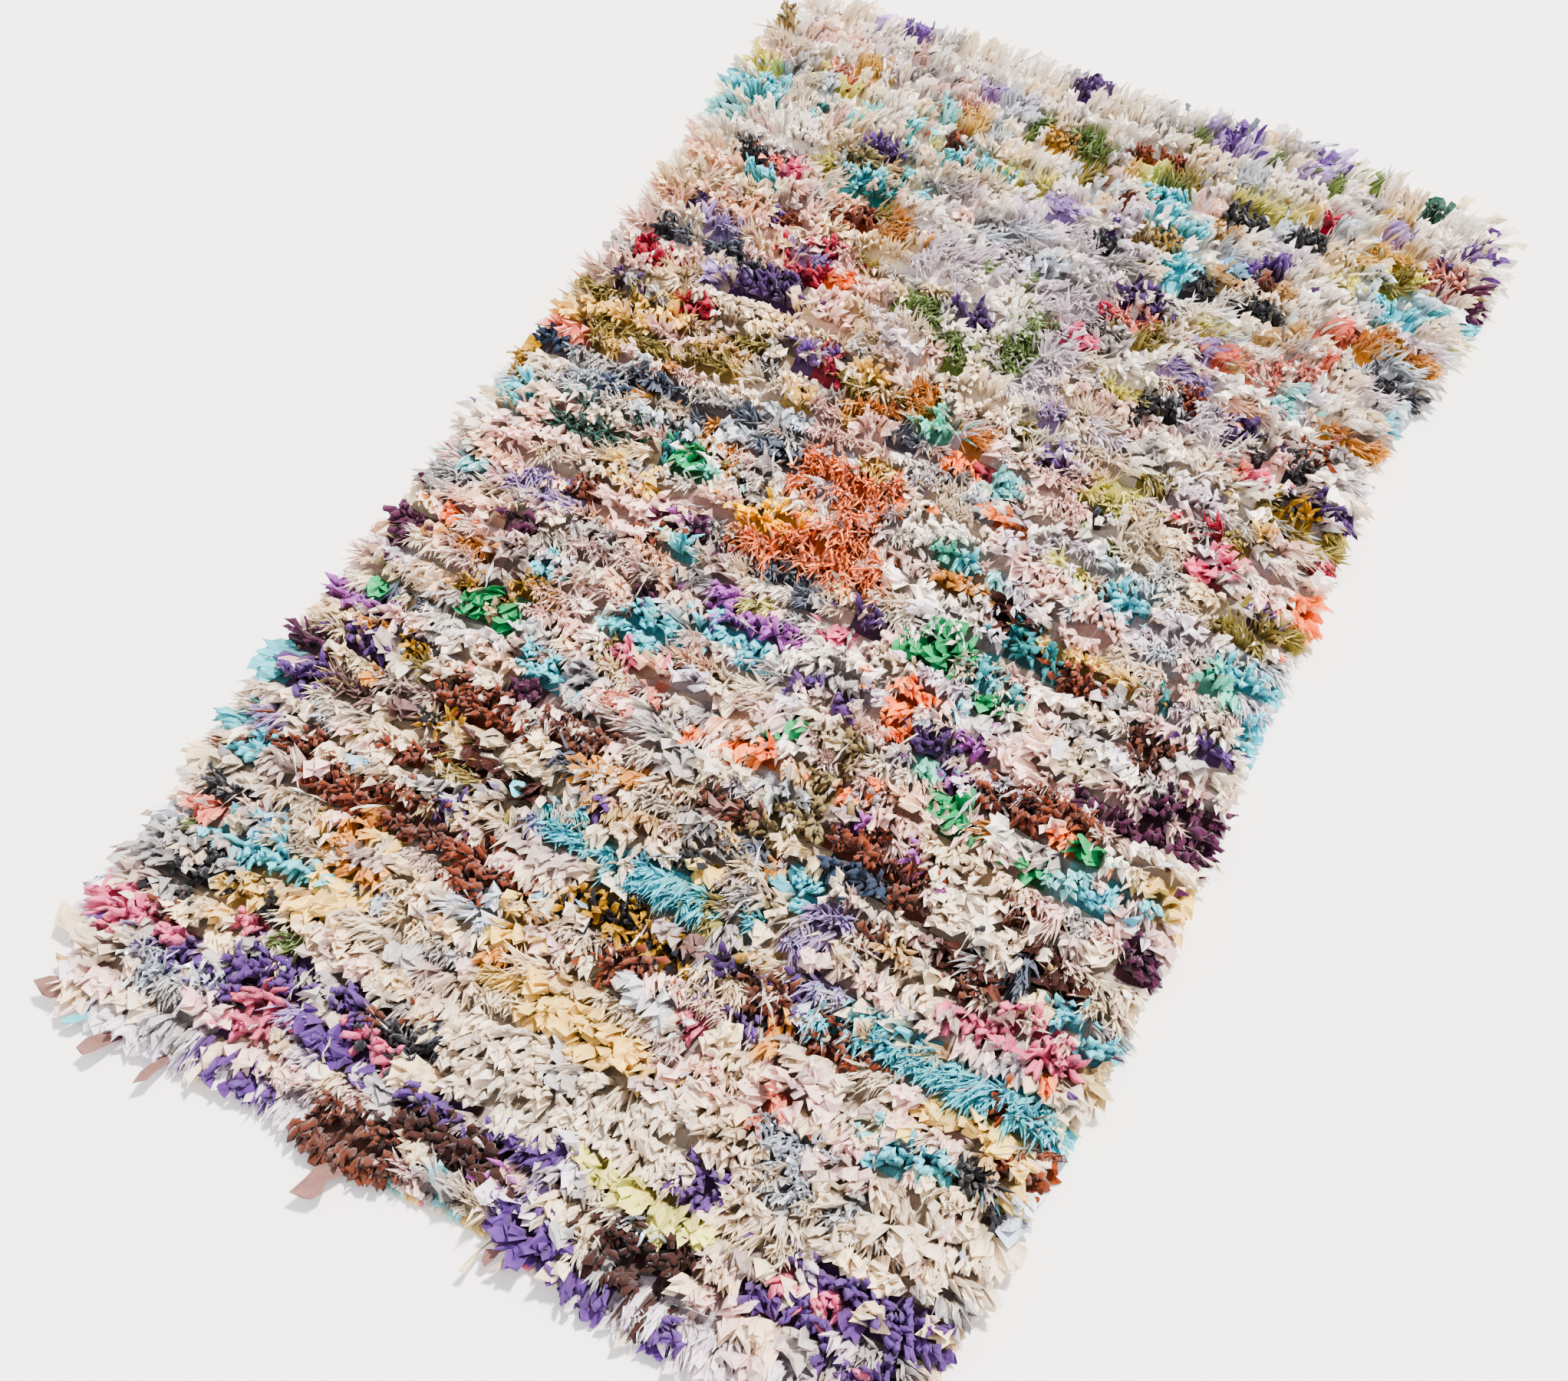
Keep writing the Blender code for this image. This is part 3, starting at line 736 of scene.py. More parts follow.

# %% [markdown]
# ## Where each cloth was knotted
# The weaver used each rag for a few knots in a row and then took the next, so the colours lie
# as short runs across the rug. The list below was made with a ruler on the picture. A
# run is written FROM:TO@ROW, or FROM:TO@ROW:ROW where it is several rows deep, in centimetres
# across from the left side and up from the near end. Later lines lie over earlier ones.

# %% The runs, by cloth and kind of rag
RUNS = (
    # cloth, kind, runs
    ("lilac_white", "fray", "96:104@1:6 80:100@1:6 18:40@2:6 60:70@130:150 42:52@143:150"),
    ("white", "strip", "50:60@134:145"),
    ("ivory", "strip", "45:80@15:24 97:103@152:154"),
    ("butter", "strip", "84:99@96:99 21:32@97 2:12@116:120 98:106@121:124 12:23@25:28 11:20@20:24.5"),
    ("blush", "petal", "5:20@96:100 80:85@103 86:93@80:85 83:98@5:8 108:114@146:149"),
    ("ivory", "petal", "11:22@147 87:100@58:64 94:104@57:63"),
    ("violet", "jersey", "21.5:24.5@181:186 35:38@183 71:74@181:186 83.5:90@185:187 111:113@178"),
    ("violet", "jersey", "105:107@175.5 108:109@175.5 64:65@162 84:89@163 26.5:31@161.5 99.5:102.5@161.5"),
    ("violet", "jersey", "20:22@145 73:76@124 36:40@123.5 22:25@112 105:110@110:113.5 107:110@93.5"),
    ("violet", "jersey", "72:75@93 61:70@77:79 5:13@57:60 1:8@50:55 44:46@53 30:33@40:44 77:82@41:44.5"),
    ("violet", "jersey", "75:79@35.5:39 33:37@19 19:30@15:19.5 80:85@15:19 31:39@13:18 94:104@14.5:18"),
    ("violet", "jersey", "105:115@11:16 12:18@10:15 18:24@11:15 45:53@10:13 50:60@11 96:103@9.5:13"),
    ("violet", "jersey", "100:105@5:9 63:72@5:8 73:80@0.5:5 22:36@2:5 105:112@5:10 84:90@1:4"),
    ("purple", "jersey", "47:54@183 98:99@186 100.5:104.5@184.5 71:77@151:155 6:13@141.5 53:57@139:142"),
    ("purple", "jersey", "21:33@129.5:134 91:98@135.5:139.5 105:113@129.5:132 4.5:12@125 62:67@91"),
    ("purple", "jersey", "76:85@77:79 70:73@42"),
    ("lilac", "strip", "37:39@178 15:17@183 68:76@183 84:88@183 98:101@177 52:60@163 83:86@146:149"),
    ("lilac", "fray", "80:88@141:144 43:45@142:145 70:73@129 105:108@72 75:83@50:54 75:80@46:50"),
    ("lilac", "fray", "41:46@47 82:86@44 43:48@40 65:69@8.5:12 12:22@88:91 1:7@44:47"),
    ("orchid", "jersey", "44.5:51@83:87 50:59@82:86 81.5:85@80:84 82:85@74:76.5 86:88@64:67.5"),
    ("orchid", "jersey", "84:88@64 0:3@62:65 5:10@61:64.5 75:78@62:65 60:63@6 33:38@91:94"),
    ("plum", "jersey", "111:114@169:172 33:42@90:93 105:115@82:86 108:116@77:83 98:108@78:80 14:21@83"),
    ("plum", "jersey", "36:41@81 0:5@77:81 2:4@77 29:35@60:63.5 38:43@62 0:4@57 109:115@61:66"),
    ("crimson", "jersey", "86:87@174 90:91@174 29:33@143 24:27@138 28:33@135.5:137 5:7.5@129:132"),
    ("crimson", "jersey", "8:13@129:132 73:75@125.5:128 16.5:21.5@125 109:113@122.5 67:69@118.5"),
    ("crimson", "jersey", "98:100@120.5 38:43@122 70:71@148"),
    ("pink", "petal", "13:20@152.5 29:34@151:154 67:71@143 95:102@115:118 98:99@131.5 61:64@85:88"),
    ("pink", "jersey", "37:41@73 102:110@49:53 107:114@48.5 98:104@49 88:89@28.5 18:21@20 1:13@14:17.5"),
    ("pink", "jersey", "1:5@11:15 39:47@11:15.5 93:104@12:15 111:113@12.5 25:29@9:15 70:73@33.5"),
    ("coral", "curly", "33.5:39@173 105:110@172 13:19@172 71:76@146:149 92:95@148 97:100@148 2:3@127.5"),
    ("coral", "strip", "96:100@157 99:100@153 87:89@147.5 95:98@131.5 3:7@113 42:46@68 19:24@63"),
    ("coral", "strip", "1:6@28:32 98:99@28 84:87@29 10:18@152"),
    ("rust", "crumb", "61:69@176 62:64@167.5 67:70@166.5 34:40@166 28:34@148 84:88@139 50:54@121"),
    ("rust", "crumb", "87:91@108 30:35@91 19:23@91 47:60@94:95 83:96@93.5 85:102@75:76.5 78:87@58:64"),
    ("rust", "crumb", "74:78@59:62 21:30@56:61 31:34@58 20:24@47 8:12@45 7:12@42 15:29@39:43 34:42@39:42"),
    ("rust", "crumb", "12:26@37:42 36:47@36:41 76:91@38:41 100:108@40 58:65@36:38.5 110:114@33:38"),
    ("rust", "crumb", "71:75@81:84 101:106@137:139"),
    ("chestnut", "crumb", "86:88@161 36:44@57:61 28:35@40 38:43@18 8:10@18 39:52@2:8 57:61@58:61 63:66@59"),
    ("chestnut", "crumb", "85:90@56:60 98:101@62 95:100@52 83.5:86.5@50:53 75:77@41.5 101:106@87:91"),
    ("chocolate", "leaf", "77:83@97:100 100:105@57:61 93:97@56 98:101@55 108:110@56 23:30@52 29:39@50:54"),
    ("chocolate", "jersey", "47:62@7:11 75:86@4:12 78:81@137"),
    ("charcoal", "crumb", "56:60@170.5 77:84@170 86:92@170:173 62:66@159 77:82@158 85:93@156"),
    ("charcoal", "crumb", "101:104@155.5 9.5:15@152:154.5 105:112@152:155 81:88@134.5:138 5:10@134.5"),
    ("charcoal", "crumb", "20:30@134.5 96:104@132.5:135 94:97@58 59:62@51.5 5:9@33 105:110@32 17:23@24.5"),
    ("charcoal", "crumb", "5:12@20:25 39:48@16 110:114@31"),
    ("navy", "jersey", "2.5:7@111 17:20@108 62.5:65@79:83 74:85@56:60 10:13@8 83:85@116.5"),
    ("slate", "fray", "53:59@117 16:20@110 23:26@110:114 20:30@109.5 34:37@112 8:12@67 100:104@55:58"),
    ("slate", "fray", "39:44@57 64:72@57 56:58@44 46:48@21 46:55@92 10:20@136:138"),
    ("silver", "leaf", "52:56@60:64.5 40:47@9:13 36:41@24:28 60:64@20:24"),
    ("teal", "jersey", "25:27@168 31:35@152:154 28:30@100:104 27:29@101 79:90@94:96.5 101:103@96"),
    ("teal", "jersey", "77:79@55 55:60@26 26:31@153:157 100:104@57"),
    ("turquoise", "pleat", "30:32@166 2:12@162:166 14:17@164.5 20:23@164 35:50@163.5:164.5 69:77@163:166"),
    ("turquoise", "pleat", "101:111@163:166.5 99:101@164 112:114@166 64:72@169.5 103:106@161 31.5:34@160.5"),
    ("turquoise", "pleat", "33:36@159 72:78@158.5 33:35@157 37:39.5@155.5:157 27:31@155 14:20@151"),
    ("turquoise", "pleat", "12:20@150"),
    ("turquoise", "jersey", "107:110@145.5 71:76@131:134 89:94@104:107.5 3:7@100:103.5 70:75@101:104.5"),
    ("turquoise", "jersey", "105:114@101:104 111:115@95:99 78:85@88.5:91 78:81@82:86 35:39@88:90"),
    ("turquoise", "pleat", "44:57@79:83 21:26@79.5 33:46@75:78.5 101:112@68:71 27:35@63:67.5 72:77@53:57"),
    ("turquoise", "jersey", "106:112@51.5:55 112:117@51 -1:8@39:43 96:106@30.5:34 6:24@27:31"),
    ("turquoise", "fray", "82.5:114@39.5:44 41:74@46:50"),
    ("turquoise", "petal", "5:8@1.5 -1:1@52"),
    ("aqua", "strip", "33:36@171 22:27@168 3:8@159 95:100@144:146.5 68:73@115:118.5 75:78@102 4:8@89"),
    ("aqua", "strip", "34:38@89 101:104@68:71 106:107@57 55:57@3:5"),
    ("sky", "strip", "79:84@162 85:89@149:152 48:50@40 18:20@47 12:14@33"),
    ("ice", "fray", "75:81@178 40:44@171 40:43@177 105:110@156.5 84:88@151 8:16@105:109 107:115@106.5"),
    ("mint", "strip", "55.5:61@119.5:123 66:69@101:104 34:37@103 78:82@76 41:43@24 105:108@102"),
    ("emerald", "leaf", "30:34@100:104 79:83@101:103 113:115@98:102 70:78@88.5:92 82:85@85:88"),
    ("emerald", "leaf", "62.5:65@72:75 59:62@72 97:104@71.5:74.5 13:24@70:74 84:88@68:74 4:8@64.5:69.5"),
    ("emerald", "leaf", "95:102@67:69"),
    ("forest", "curly", "101:104@181 10:24@99.5:103"),
    ("moss", "fray", "42:44@182 62:63@182 68:71@181.5 75:76@182 78:80@183 87:90@182 92:94@183"),
    ("moss", "fray", "45:50@174.5 51:59@174.5 50:53@146:149 57:60@146:149 61:66@137:143 44:50@136:140"),
    ("moss", "fray", "50:54@133:136 54:57@130:134 60:65@133:138 85:88@114:117 20:27@20:23 1:5@27"),
    ("olive", "fray", "66:73@172:174 55:60@169 100:104@169 33:35@152 2:8@148.5 36:40@141:144"),
    ("olive", "fray", "84:89@124:128 100:104@126:129 105:113@123:128 68:71@125 82:87@124 2:12@121:124"),
    ("olive", "fray", "25:33@121:125 42:48@123 50:55@123 5:20@116 22:29@117 38:43@116 34:37@74 17:18@58"),
    ("olive", "fray", "26:34@48:51 14.5:17.5@48 66:69@47.5 76:79@146 78:81@137 103:112@108:111"),
    ("khaki", "crumb", "1:4@179 22:30@158 67:75@160:163 70:76@72 69:73@69 66:69@60:63.5 70:73.5@60:64"),
    ("khaki", "crumb", "66.5:69@59 57:60@32"),
    ("butter", "fray", "95:100@181 85:88@177 16:24@174.5 60:64@173 36:40@171 95:104@173 47:56@27:30"),
    ("butter", "petal", "53:71@25:30 99:112@35:39 111:117@32:36 15:20@35 24:29@37 62:64@53"),
    ("lemon", "petal", "70:85@12:15"),
    ("butter", "petal", "22:29@26:30 44:49@33:36 111:114@72"),
    ("lemon", "fray", "77:86@173 18.5:25@155 80:85@150.5 75:79@137 80:87@121 81:85@108:112 50:52@87"),
    ("mustard", "curly", "45:55@172 71:74@163 103:108@158 20.5:24@74 12:19@72:75 0:4@107"),
    ("amber", "fray", "101:105@158 107:112@158 6:9@151.5 36:40@149 103:113@141:143 44:58@119 62:65@121"),
    ("amber", "fray", "53:57@124 20:23@114 34:37@105 29.5:32@107 19.5:21@107.5 11:15@77.5 88:92@73"),
    ("amber", "strip", "46:52@58 43:45@57 69.5:71.5@57 77:79@57 80:82@57 12:14@55.5 41:46@54 80:82@38.5"),
    ("amber", "strip", "22:31@31:34 46:50@30:32.5 68:75@100:102 7:10@61 21:25@38"),
    ("tan", "strip", "76:80@167 88:92@152 65:69@69 12:23@26 11:20@22 104:110@36"),
    ("orange", "wool", "45:60@105:111 50:60@100:106 42:64@94:100"),
    ("golden", "strip", "41:50@95:101"),
    ("orange", "strip", "21:23@144 32:38@136:138 61:66@118.5 71:73@118.5 108:112@116.5 110:113@114"),
    ("orange", "strip", "72:76@111.5 72:77@81:84 5:9@80 96:102@73:76 51:54@67 57:65@66:69.5 72:76@67:70"),
    ("orange", "strip", "67.5:71@65:67.5 107:111@45 71.5:76@76:80"),
    ("mustard", "ribbon", "50:68@39:43 100:108@129 23:27@55 12:16@61"),
    ("ice", "tinsel", "72:93@23.5:28 90:100@23 78:87@10.5:13 8:12@11 16:20@11 3:12@47"),
)


# %% Reading the runs
KNOTTED_LENGTH_CM = 186.8
ROW_PITCH = KNOTTED_LENGTH_CM / LENGTH_STEPS
ROW_REACH = ROW_PITCH / 2
RUN_TRIM = 0.5


def read_run(text):
    """The run's left, right, near and far limits, in centimetres."""
    across, rows = text.split("@")
    left, right = map(float, across.split(":"))
    ends = [float(part) for part in rows.split(":")]
    trim = min(RUN_TRIM, max(0, (right - left - 4) / 4))
    left, right = left + trim, right - trim
    middle = (ends[0] + ends[-1]) / 2
    reach = max((ends[-1] - ends[0]) / 2, ROW_REACH)
    return left, right, middle - reach, middle + reach


patches = [
    (CLOTH_NAMES.index(cloth), kind, *read_run(text))
    for cloth, kind, runs in RUNS
    for text in runs.split()
]
print(len(patches), "runs of coloured rag")

# %% [markdown]
# Between the coloured runs the rug is pale: worn sheets, shirts and flannel, whiter at the far
# end, with more blush and grey in the middle. The zones name the pale cloths of each stretch and
# how often each is used.

# %% The pale cloths, by stretch of the rug
ZONES = (
    # from and to (near end up), left and right, then cloths, each with its share
    (175, 190, -5, 40, "ivory 3 silver 1.4 blush 1 white 6 lilac_white 1.6"),
    (175, 190, 40, 120, "ivory 3 white 8 silver 1.2 cream 0.6 ice 0.5"),
    (165, 175, -5, 120, "ivory 3 lemon 1.2 cream 1 blush 1 ice 1.6 white 6 silver 1"),
    (150, 165, -5, 42, "ivory 4 blush 2 cream 1 silver 1.6 tan 0.4 white 3 ice 0.5"),
    (150, 165, 42, 72, "lilac_white 5 silver 2 white 3 ice 1"),
    (150, 165, 72, 120, "white 6 ivory 2 silver 1 ice 1.4 lilac_white 1 tan 0.6"),
    (138, 150, -5, 45, "cream 2 peach 2 taupe 2 blush 3 rust 0.4 ivory 3 olive 0.3 silver 1"),
    (138, 150, 45, 75, "lilac_white 4 white 4 ivory 2 silver 1"),
    (138, 150, 75, 120, "white 5 ivory 2 blush 1.5 peach 0.6 silver 1 lilac_white 1"),
    (125, 138, -5, 45, "ivory 3 blush 3 cream 1.5 taupe 1.5 lilac 0.6 silver 1"),
    (125, 138, 45, 120, "white 3 ivory 3 lilac_white 2 blush 1 silver 1 taupe 0.7"),
    (113, 125, -5, 60, "butter 1.6 cream 2.4 ivory 3 silver 1 tan 0.8 blush 2 taupe 0.8"),
    (113, 125, 60, 120, "blush 3 cream 1 ivory 2 white 3 silver 1 olive 0.4 lilac_white 1"),
    (103, 113, -5, 45, "ice 3 silver 2 white 2 ivory 2 slate 0.5 blush 1"),
    (103, 113, 45, 120, "white 4 lilac_white 3 ivory 2 ice 1 blush 1"),
    (92, 103, -5, 60, "blush 4 ivory 3 peach 1 white 1 cream 1 silver 1"),
    (92, 103, 60, 120, "ivory 2 white 4 blush 3 silver 1 lilac_white 1 ice 0.6"),
    (83, 92, -5, 45, "peach 2 blush 3 ivory 3 silver 1 taupe 1"),
    (83, 92, 45, 62, "silver 3 ivory 2 white 2 slate 0.5 taupe 1"),
    (83, 92, 62, 120, "ivory 2.5 white 3 blush 4 silver 1 lilac_white 1"),
    (60, 83, -5, 120,
     "ivory 2 blush 5 cream 1 silver 1 taupe 1 white 1.5 peach 1.5 lilac_white 1 ice 0.4"),
    (50, 60, -5, 120, "cream 3 ivory 4 silver 1.5 taupe 1.5 blush 2 tan 0.8 rosewood 0.5"),
    (40, 50, -5, 120, "fawn 4 silver 1.3 taupe 1 cream 3 blush 1.5 tan 0.6 rosewood 0.4"),
    (24, 40, -5, 120, "fawn 4 ice 0.6 blush 3 cream 4 taupe 1.2 tan 0.6 silver 0.6"),
    (15, 24, -5, 45, "fawn 3 cream 1.5 silver 2 taupe 1.5 blush 0.6"),
    (15, 24, 45, 120, "white 1 fawn 5 cream 3 silver 1 taupe 0.5"),
    (7, 15, -5, 120,
     "fawn 3 cream 2 taupe 1.5 silver 1 blush 1 violet 1.6 lilac 0.5 lilac_white 1"),
    (-5, 7, -5, 120,
     "lilac_white 1.6 silver 1.5 fawn 3 cream 1.2 taupe 1.6 violet 3.4 blush 1 lilac 1.2"),
)
FRAYED_SHARE = (
    # place along the rug in cm, then the share there of all the pale rags
    (-5, 0.12), (15, 0.20), (40, 0.30), (60, 0.40), (85, 0.42),
    (125, 0.46), (150, 0.36), (170, 0.16), (190, 0.10),
)
PETAL_SHARE = (
    (-5, 0.50), (15, 0.45), (40, 0.35), (60, 0.25),
    (85, 0.15), (125, 0.10), (150, 0.08), (190, 0.05),
)


def by_place(table, places):
    """Values at these places along the rug, in cm, from a table of (place, value)."""
    return np.interp(places, *zip(*table))


# %% [markdown]
# ## The knots
# Rows of knots run across the rug, a finger's width and a half apart, and every row has
# seventy knots. Rows wander a little, as beaten rows do. Each knot gets its cloth, its shade and
# its kind of rag first, and its locks afterwards.

# %% Knot places
SEED = 11
KNOTS_IN_ROW = 70
KNOT_SHAKE = 0.30
ROW_SHAKE = 0.07
# Each row wanders in two waves: their height in rows, and their turn across the rug, in radians
ROW_WAVES = ((0.16, 9), (0.10, 23))
ACROSS_LIMITS = (0.004, 0.996)
ALONG_LIMITS = (0.003, 0.997)
rng = np.random.default_rng(SEED)
row_of, knot_of = np.divmod(np.arange(LENGTH_STEPS * KNOTS_IN_ROW), KNOTS_IN_ROW)
wander = rng.uniform(0, 2 * np.pi, (LENGTH_STEPS, 2))
shake = rng.uniform(-KNOT_SHAKE, KNOT_SHAKE, len(knot_of))
across_part = (knot_of + 0.5 + shake) / KNOTS_IN_ROW
row_swing = sum(
    height * np.sin(across_part * turn + wander[row_of, number])
    for number, (height, turn) in enumerate(ROW_WAVES)
)
shake = rng.uniform(-ROW_SHAKE, ROW_SHAKE, len(row_of))
along_part = (row_of + 0.5 + row_swing + shake) / LENGTH_STEPS
knots = plan_points(np.clip(across_part, *ACROSS_LIMITS), np.clip(along_part, *ALONG_LIMITS))
# The pile has been beaten down towards the near end, and along its rows at the far end
STANCE_PLACES = (-5, 55, 110, 140, 165, 190)
STANCE_ACROSS = (0.05, 0.15, 0.32, 0.58, 0.55, 0.50)
STANCE_ALONG = (-1.00, -0.90, -0.70, -0.50, -0.28, -0.12)
stance = np.stack(
    [np.interp(knots[:, 1] * 100, STANCE_PLACES, part) for part in (STANCE_ACROSS, STANCE_ALONG)],
    axis=1,
)
# A lock shows its cloth beside its knot, where it has bent over
SHOWN_SHIFT_CM = (-0.5, 0.0)
SHOWN_REACH_CM = 1.7
knots_cm = knots * 100 + SHOWN_SHIFT_CM + stance * SHOWN_REACH_CM
print(len(knots), "knots")

# %% Cloth, kind and shade of each knot
ZONE_BLUR_CM = (3, 2)
PATCH_BLUR_CM = 0.35
PATCH_COVER = 0.92
KIND_COVER = {"wool": 0.78, "tinsel": 0.60, "ribbon": 0.80, "leaf": 1.0, "crumb": 1.0}
KNOTS_IN_RUN = (1, 5)
SHADE_SHARES = (0.19, 0.16, 0.16, 0.12, 0.09, 0.14, 0.07, 0.07)
# The share of clean rags, with little soil and painted root shade, grows towards the far end
CLEAN_UNSHADOWED_SHARE = ((-5, 0.0), (60, 0.05), (80, 0.45), (110, 0.80), (140, 1.0), (190, 1.0))


def zone_cloth(x, y):
    """A pale cloth picked for this place, from its zone's shares."""
    x += rng.normal(0, ZONE_BLUR_CM[0])
    y += rng.normal(0, ZONE_BLUR_CM[1])
    for near, far, left, right, cloths in ZONES:
        if near <= y < far and left <= x < right:
            words = cloths.split()
            shares = np.array([float(word) for word in words[1::2]])
            return CLOTH_NAMES.index(words[2 * rng.choice(len(shares), p=shares / shares.sum())])
    return CLOTH_NAMES.index("ivory")


def pale_kind(y):
    frayed = by_place(FRAYED_SHARE, y)
    petals = by_place(PETAL_SHARE, y)
    return rng.choice(["fray", "petal", "strip"], p=(frayed, petals, 1 - frayed - petals))


def pick_shades(places):
    """A shade for each place along the rug, clean ones with little painted root shade oftener towards the
    far end.
    """
    usual = rng.choice(SHADES, len(places), p=SHADE_SHARES)
    clean_unshadowed = rng.random(len(places)) < by_place(CLEAN_UNSHADOWED_SHARE, places)
    return np.where(clean_unshadowed, CLEAN_UNSHADOWED_SHADE, usual)


knot_cloth = np.zeros(len(knots), int)
knot_shade = np.zeros(len(knots), int)
knot_kind = np.empty(len(knots), object)
left_in_run = 0
for index in range(len(knots)):
    x, y = knots_cm[index]
    if left_in_run <= 0 or knot_of[index] == 0:
        left_in_run = rng.integers(*KNOTS_IN_RUN)
        cloth = zone_cloth(x, y)
        kind = pale_kind(y)
        shade = pick_shades([y])[0]
    left_in_run -= 1
    knot_cloth[index], knot_kind[index], knot_shade[index] = cloth, kind, shade

for cloth, kind, left, right, near, far in patches:
    x, y = (knots_cm + rng.normal(0, PATCH_BLUR_CM, (len(knots), 2))).T
    inside = (x > left) & (x < right) & (y > near) & (y < far)
    inside &= rng.random(len(knots)) < KIND_COVER.get(kind, PATCH_COVER)
    knot_cloth[inside] = cloth
    knot_kind[inside] = kind
    knot_shade[inside] = pick_shades(knots_cm[inside, 1])
for kind in sorted(set(knot_kind)):
    print(kind, int((knot_kind == kind).sum()))

# %% [markdown]
# ## The bed of the pile
# Deep in the pile the roots of the rags are packed into a felted bed, in ridges along the rows
# of knots with a furrow after each. It is one grid with a column for each knot and three rows of
# faces for each row of knots. Each face is dyed as the knot that stands on it, near the root's
# end of the chart, so that the gaps between locks show the right cloth, soiled and darkened
# with painted shade.

# %% The bed
BED_FURROW = 0.007
BED_RISE = 0.010
BED_CREST = 0.013
BED_UNEVENNESS = 0.0045
BED_RIM_PART = 0.004
BED_OVERLAP = 0.0005
BED_ROWS = LENGTH_STEPS * 3
# From here to the far end the bed keeps its knots' own shades, without the painted shade
BED_UNSHADOWED_CM = 128
# Where a face's corners lie in a cell of the chart: its middle, and half its size
BED_CELL_U = (0.5, 0.40)
# Near the root's end of the cell, where the dye carries painted shade and soil
BED_CELL_V = (0.12, 0.07)
NUDGE = 1e-9
bpy.ops.object.select_all(action="DESELECT")
bpy.ops.mesh.primitive_grid_add(
    x_subdivisions=KNOTS_IN_ROW, y_subdivisions=BED_ROWS, size=1, location=(0, 0, 0)
)
bed = bpy.context.object
bed.name = bed.data.name = "pile_bed"
bpy.ops.object.mode_set(mode="EDIT")
bpy.ops.mesh.select_all(action="DESELECT")
bpy.ops.mesh.select_mode(type="EDGE")
bpy.ops.mesh.select_non_manifold()
bpy.ops.mesh.extrude_region_move(TRANSFORM_OT_translate={"value": (0, 0, -1)})
bpy.ops.mesh.edge_face_add()
bpy.ops.mesh.select_all(action="SELECT")
bpy.ops.mesh.normals_make_consistent(inside=False)
bpy.ops.object.mode_set(mode="OBJECT")
settle_faces(bed.data)
parts = read_points(bed.data)
top = parts[:, 2] > -0.5
step = np.rint((parts[:, 1] + 0.5) * BED_ROWS).astype(int)
heights = np.array((BED_FURROW, BED_RISE, BED_CREST))[step % 3]
heights = heights + rng.uniform(-BED_UNEVENNESS, BED_UNEVENNESS, len(heights))
rim_part = np.minimum(0.5 - np.abs(parts[:, 0]), 0.5 - np.abs(parts[:, 1]))
heights = np.where(rim_part < BED_RIM_PART, np.minimum(heights, BED_CREST), heights)
laid = plan_points(parts[:, 0] + 0.5, parts[:, 1] + 0.5) + shift
bed_points = np.column_stack([laid, np.where(top, heights, GROUND_TOP - BED_OVERLAP)])

# %% The bed's dye: each face takes its knot's cloth, in the darkest shade as painted shade, but for the far end
corner_of, face_start = read_faces(bed.data)
face_size = np.diff(np.append(face_start, len(corner_of)))
face_of = np.repeat(np.arange(len(face_start)), face_size)
middle = np.add.reduceat(parts[corner_of], face_start) / face_size[:, None]
column = np.clip(((middle[:, 0] + 0.5) * KNOTS_IN_ROW).astype(int), 0, KNOTS_IN_ROW - 1)
row = np.clip(((middle[:, 1] + 0.5) * LENGTH_STEPS).astype(int), 0, LENGTH_STEPS - 1)
owner = (row * KNOTS_IN_ROW + column)[face_of]
offset = parts[corner_of] - middle[face_of]
part_u = BED_CELL_U[0] + BED_CELL_U[1] * np.sign(offset[:, 0] + NUDGE)
part_v = BED_CELL_V[0] + BED_CELL_V[1] * np.sign(offset[:, 1] + offset[:, 2] * 2 + NUDGE)
# Nearer than that, the darkest shade paints shade into the gaps between locks
bed_shade = np.where(knots_cm[owner, 1] > BED_UNSHADOWED_CM, knot_shade[owner], SHADES - 1)
bed_places = chart_place(knot_cloth[owner], bed_shade, part_u, part_v)
bed.data.vertices.foreach_set("co", bed_points.astype(np.float32).ravel())
bed_chart = bed.data.uv_layers.new(name="OFBake")
bed_chart.data.foreach_set("uv", bed_places.astype(np.float32).ravel())
bed.data.materials.append(MATERIALS["chenille"])
bed.data.update()
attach(bed, "root")
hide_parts("pile")
print("Bed:", int((face_size - 2).sum()), "triangles")

# %% [markdown]
# ## Locks on the knots
# Every knot throws up a few locks. Over most of the rug they lean towards the near end, as pile
# does that was beaten down row by row, and at the far end more along the rows. Near the rim they
# lean out and hang over it. A lock stands on its root, then bends over evenly from root to tip.

# %% How each kind of rag stands
HABIT_PARTS = ("count", "width", "length", "lean", "spread", "curl", "turn", "crumple")
HABITS = {
    # locks to a knot, width and length in mm, lean, its spread in a knot, curl, turn of its
    # face, crumple in mm
    "strip": (8, (7, 12), (40, 54), 0.95, 0.24, 0.5, 0.7, 1.0),
    "petal": (5, (15, 25), (40, 54), 0.95, 0.28, 0.6, 0.6, 1.6),
    "fray": (21, (4, 7.5), (38, 54), 0.95, 0.30, 0.7, 3.0, 0.6),
    "jersey": (6, (7, 12), (36, 48), 0.70, 0.45, 1.4, 3.0, 1.4),
    "pleat": (8, (7, 11), (36, 46), 0.85, 0.16, 0.4, 0.5, 0.9),
    "crumb": (10, (4.5, 7), (30, 42), 0.60, 0.55, 1.4, 3.0, 1.3),
    "wool": (16, (2.4, 3.8), (48, 68), 1.15, 0.40, 0.8, 3.0, 1.0),
    "curly": (12, (3, 4.6), (34, 44), 0.80, 0.50, 1.4, 3.0, 2.0),
    "leaf": (4, (20, 30), (36, 50), 0.85, 0.35, 0.4, 0.8, 1.2),
    "tinsel": (14, (2.0, 3.4), (38, 50), 0.80, 0.55, 1.0, 3.0, 1.6),
    "ribbon": (7, (6, 9), (36, 48), 0.60, 0.50, 1.4, 3.0, 1.4),
}
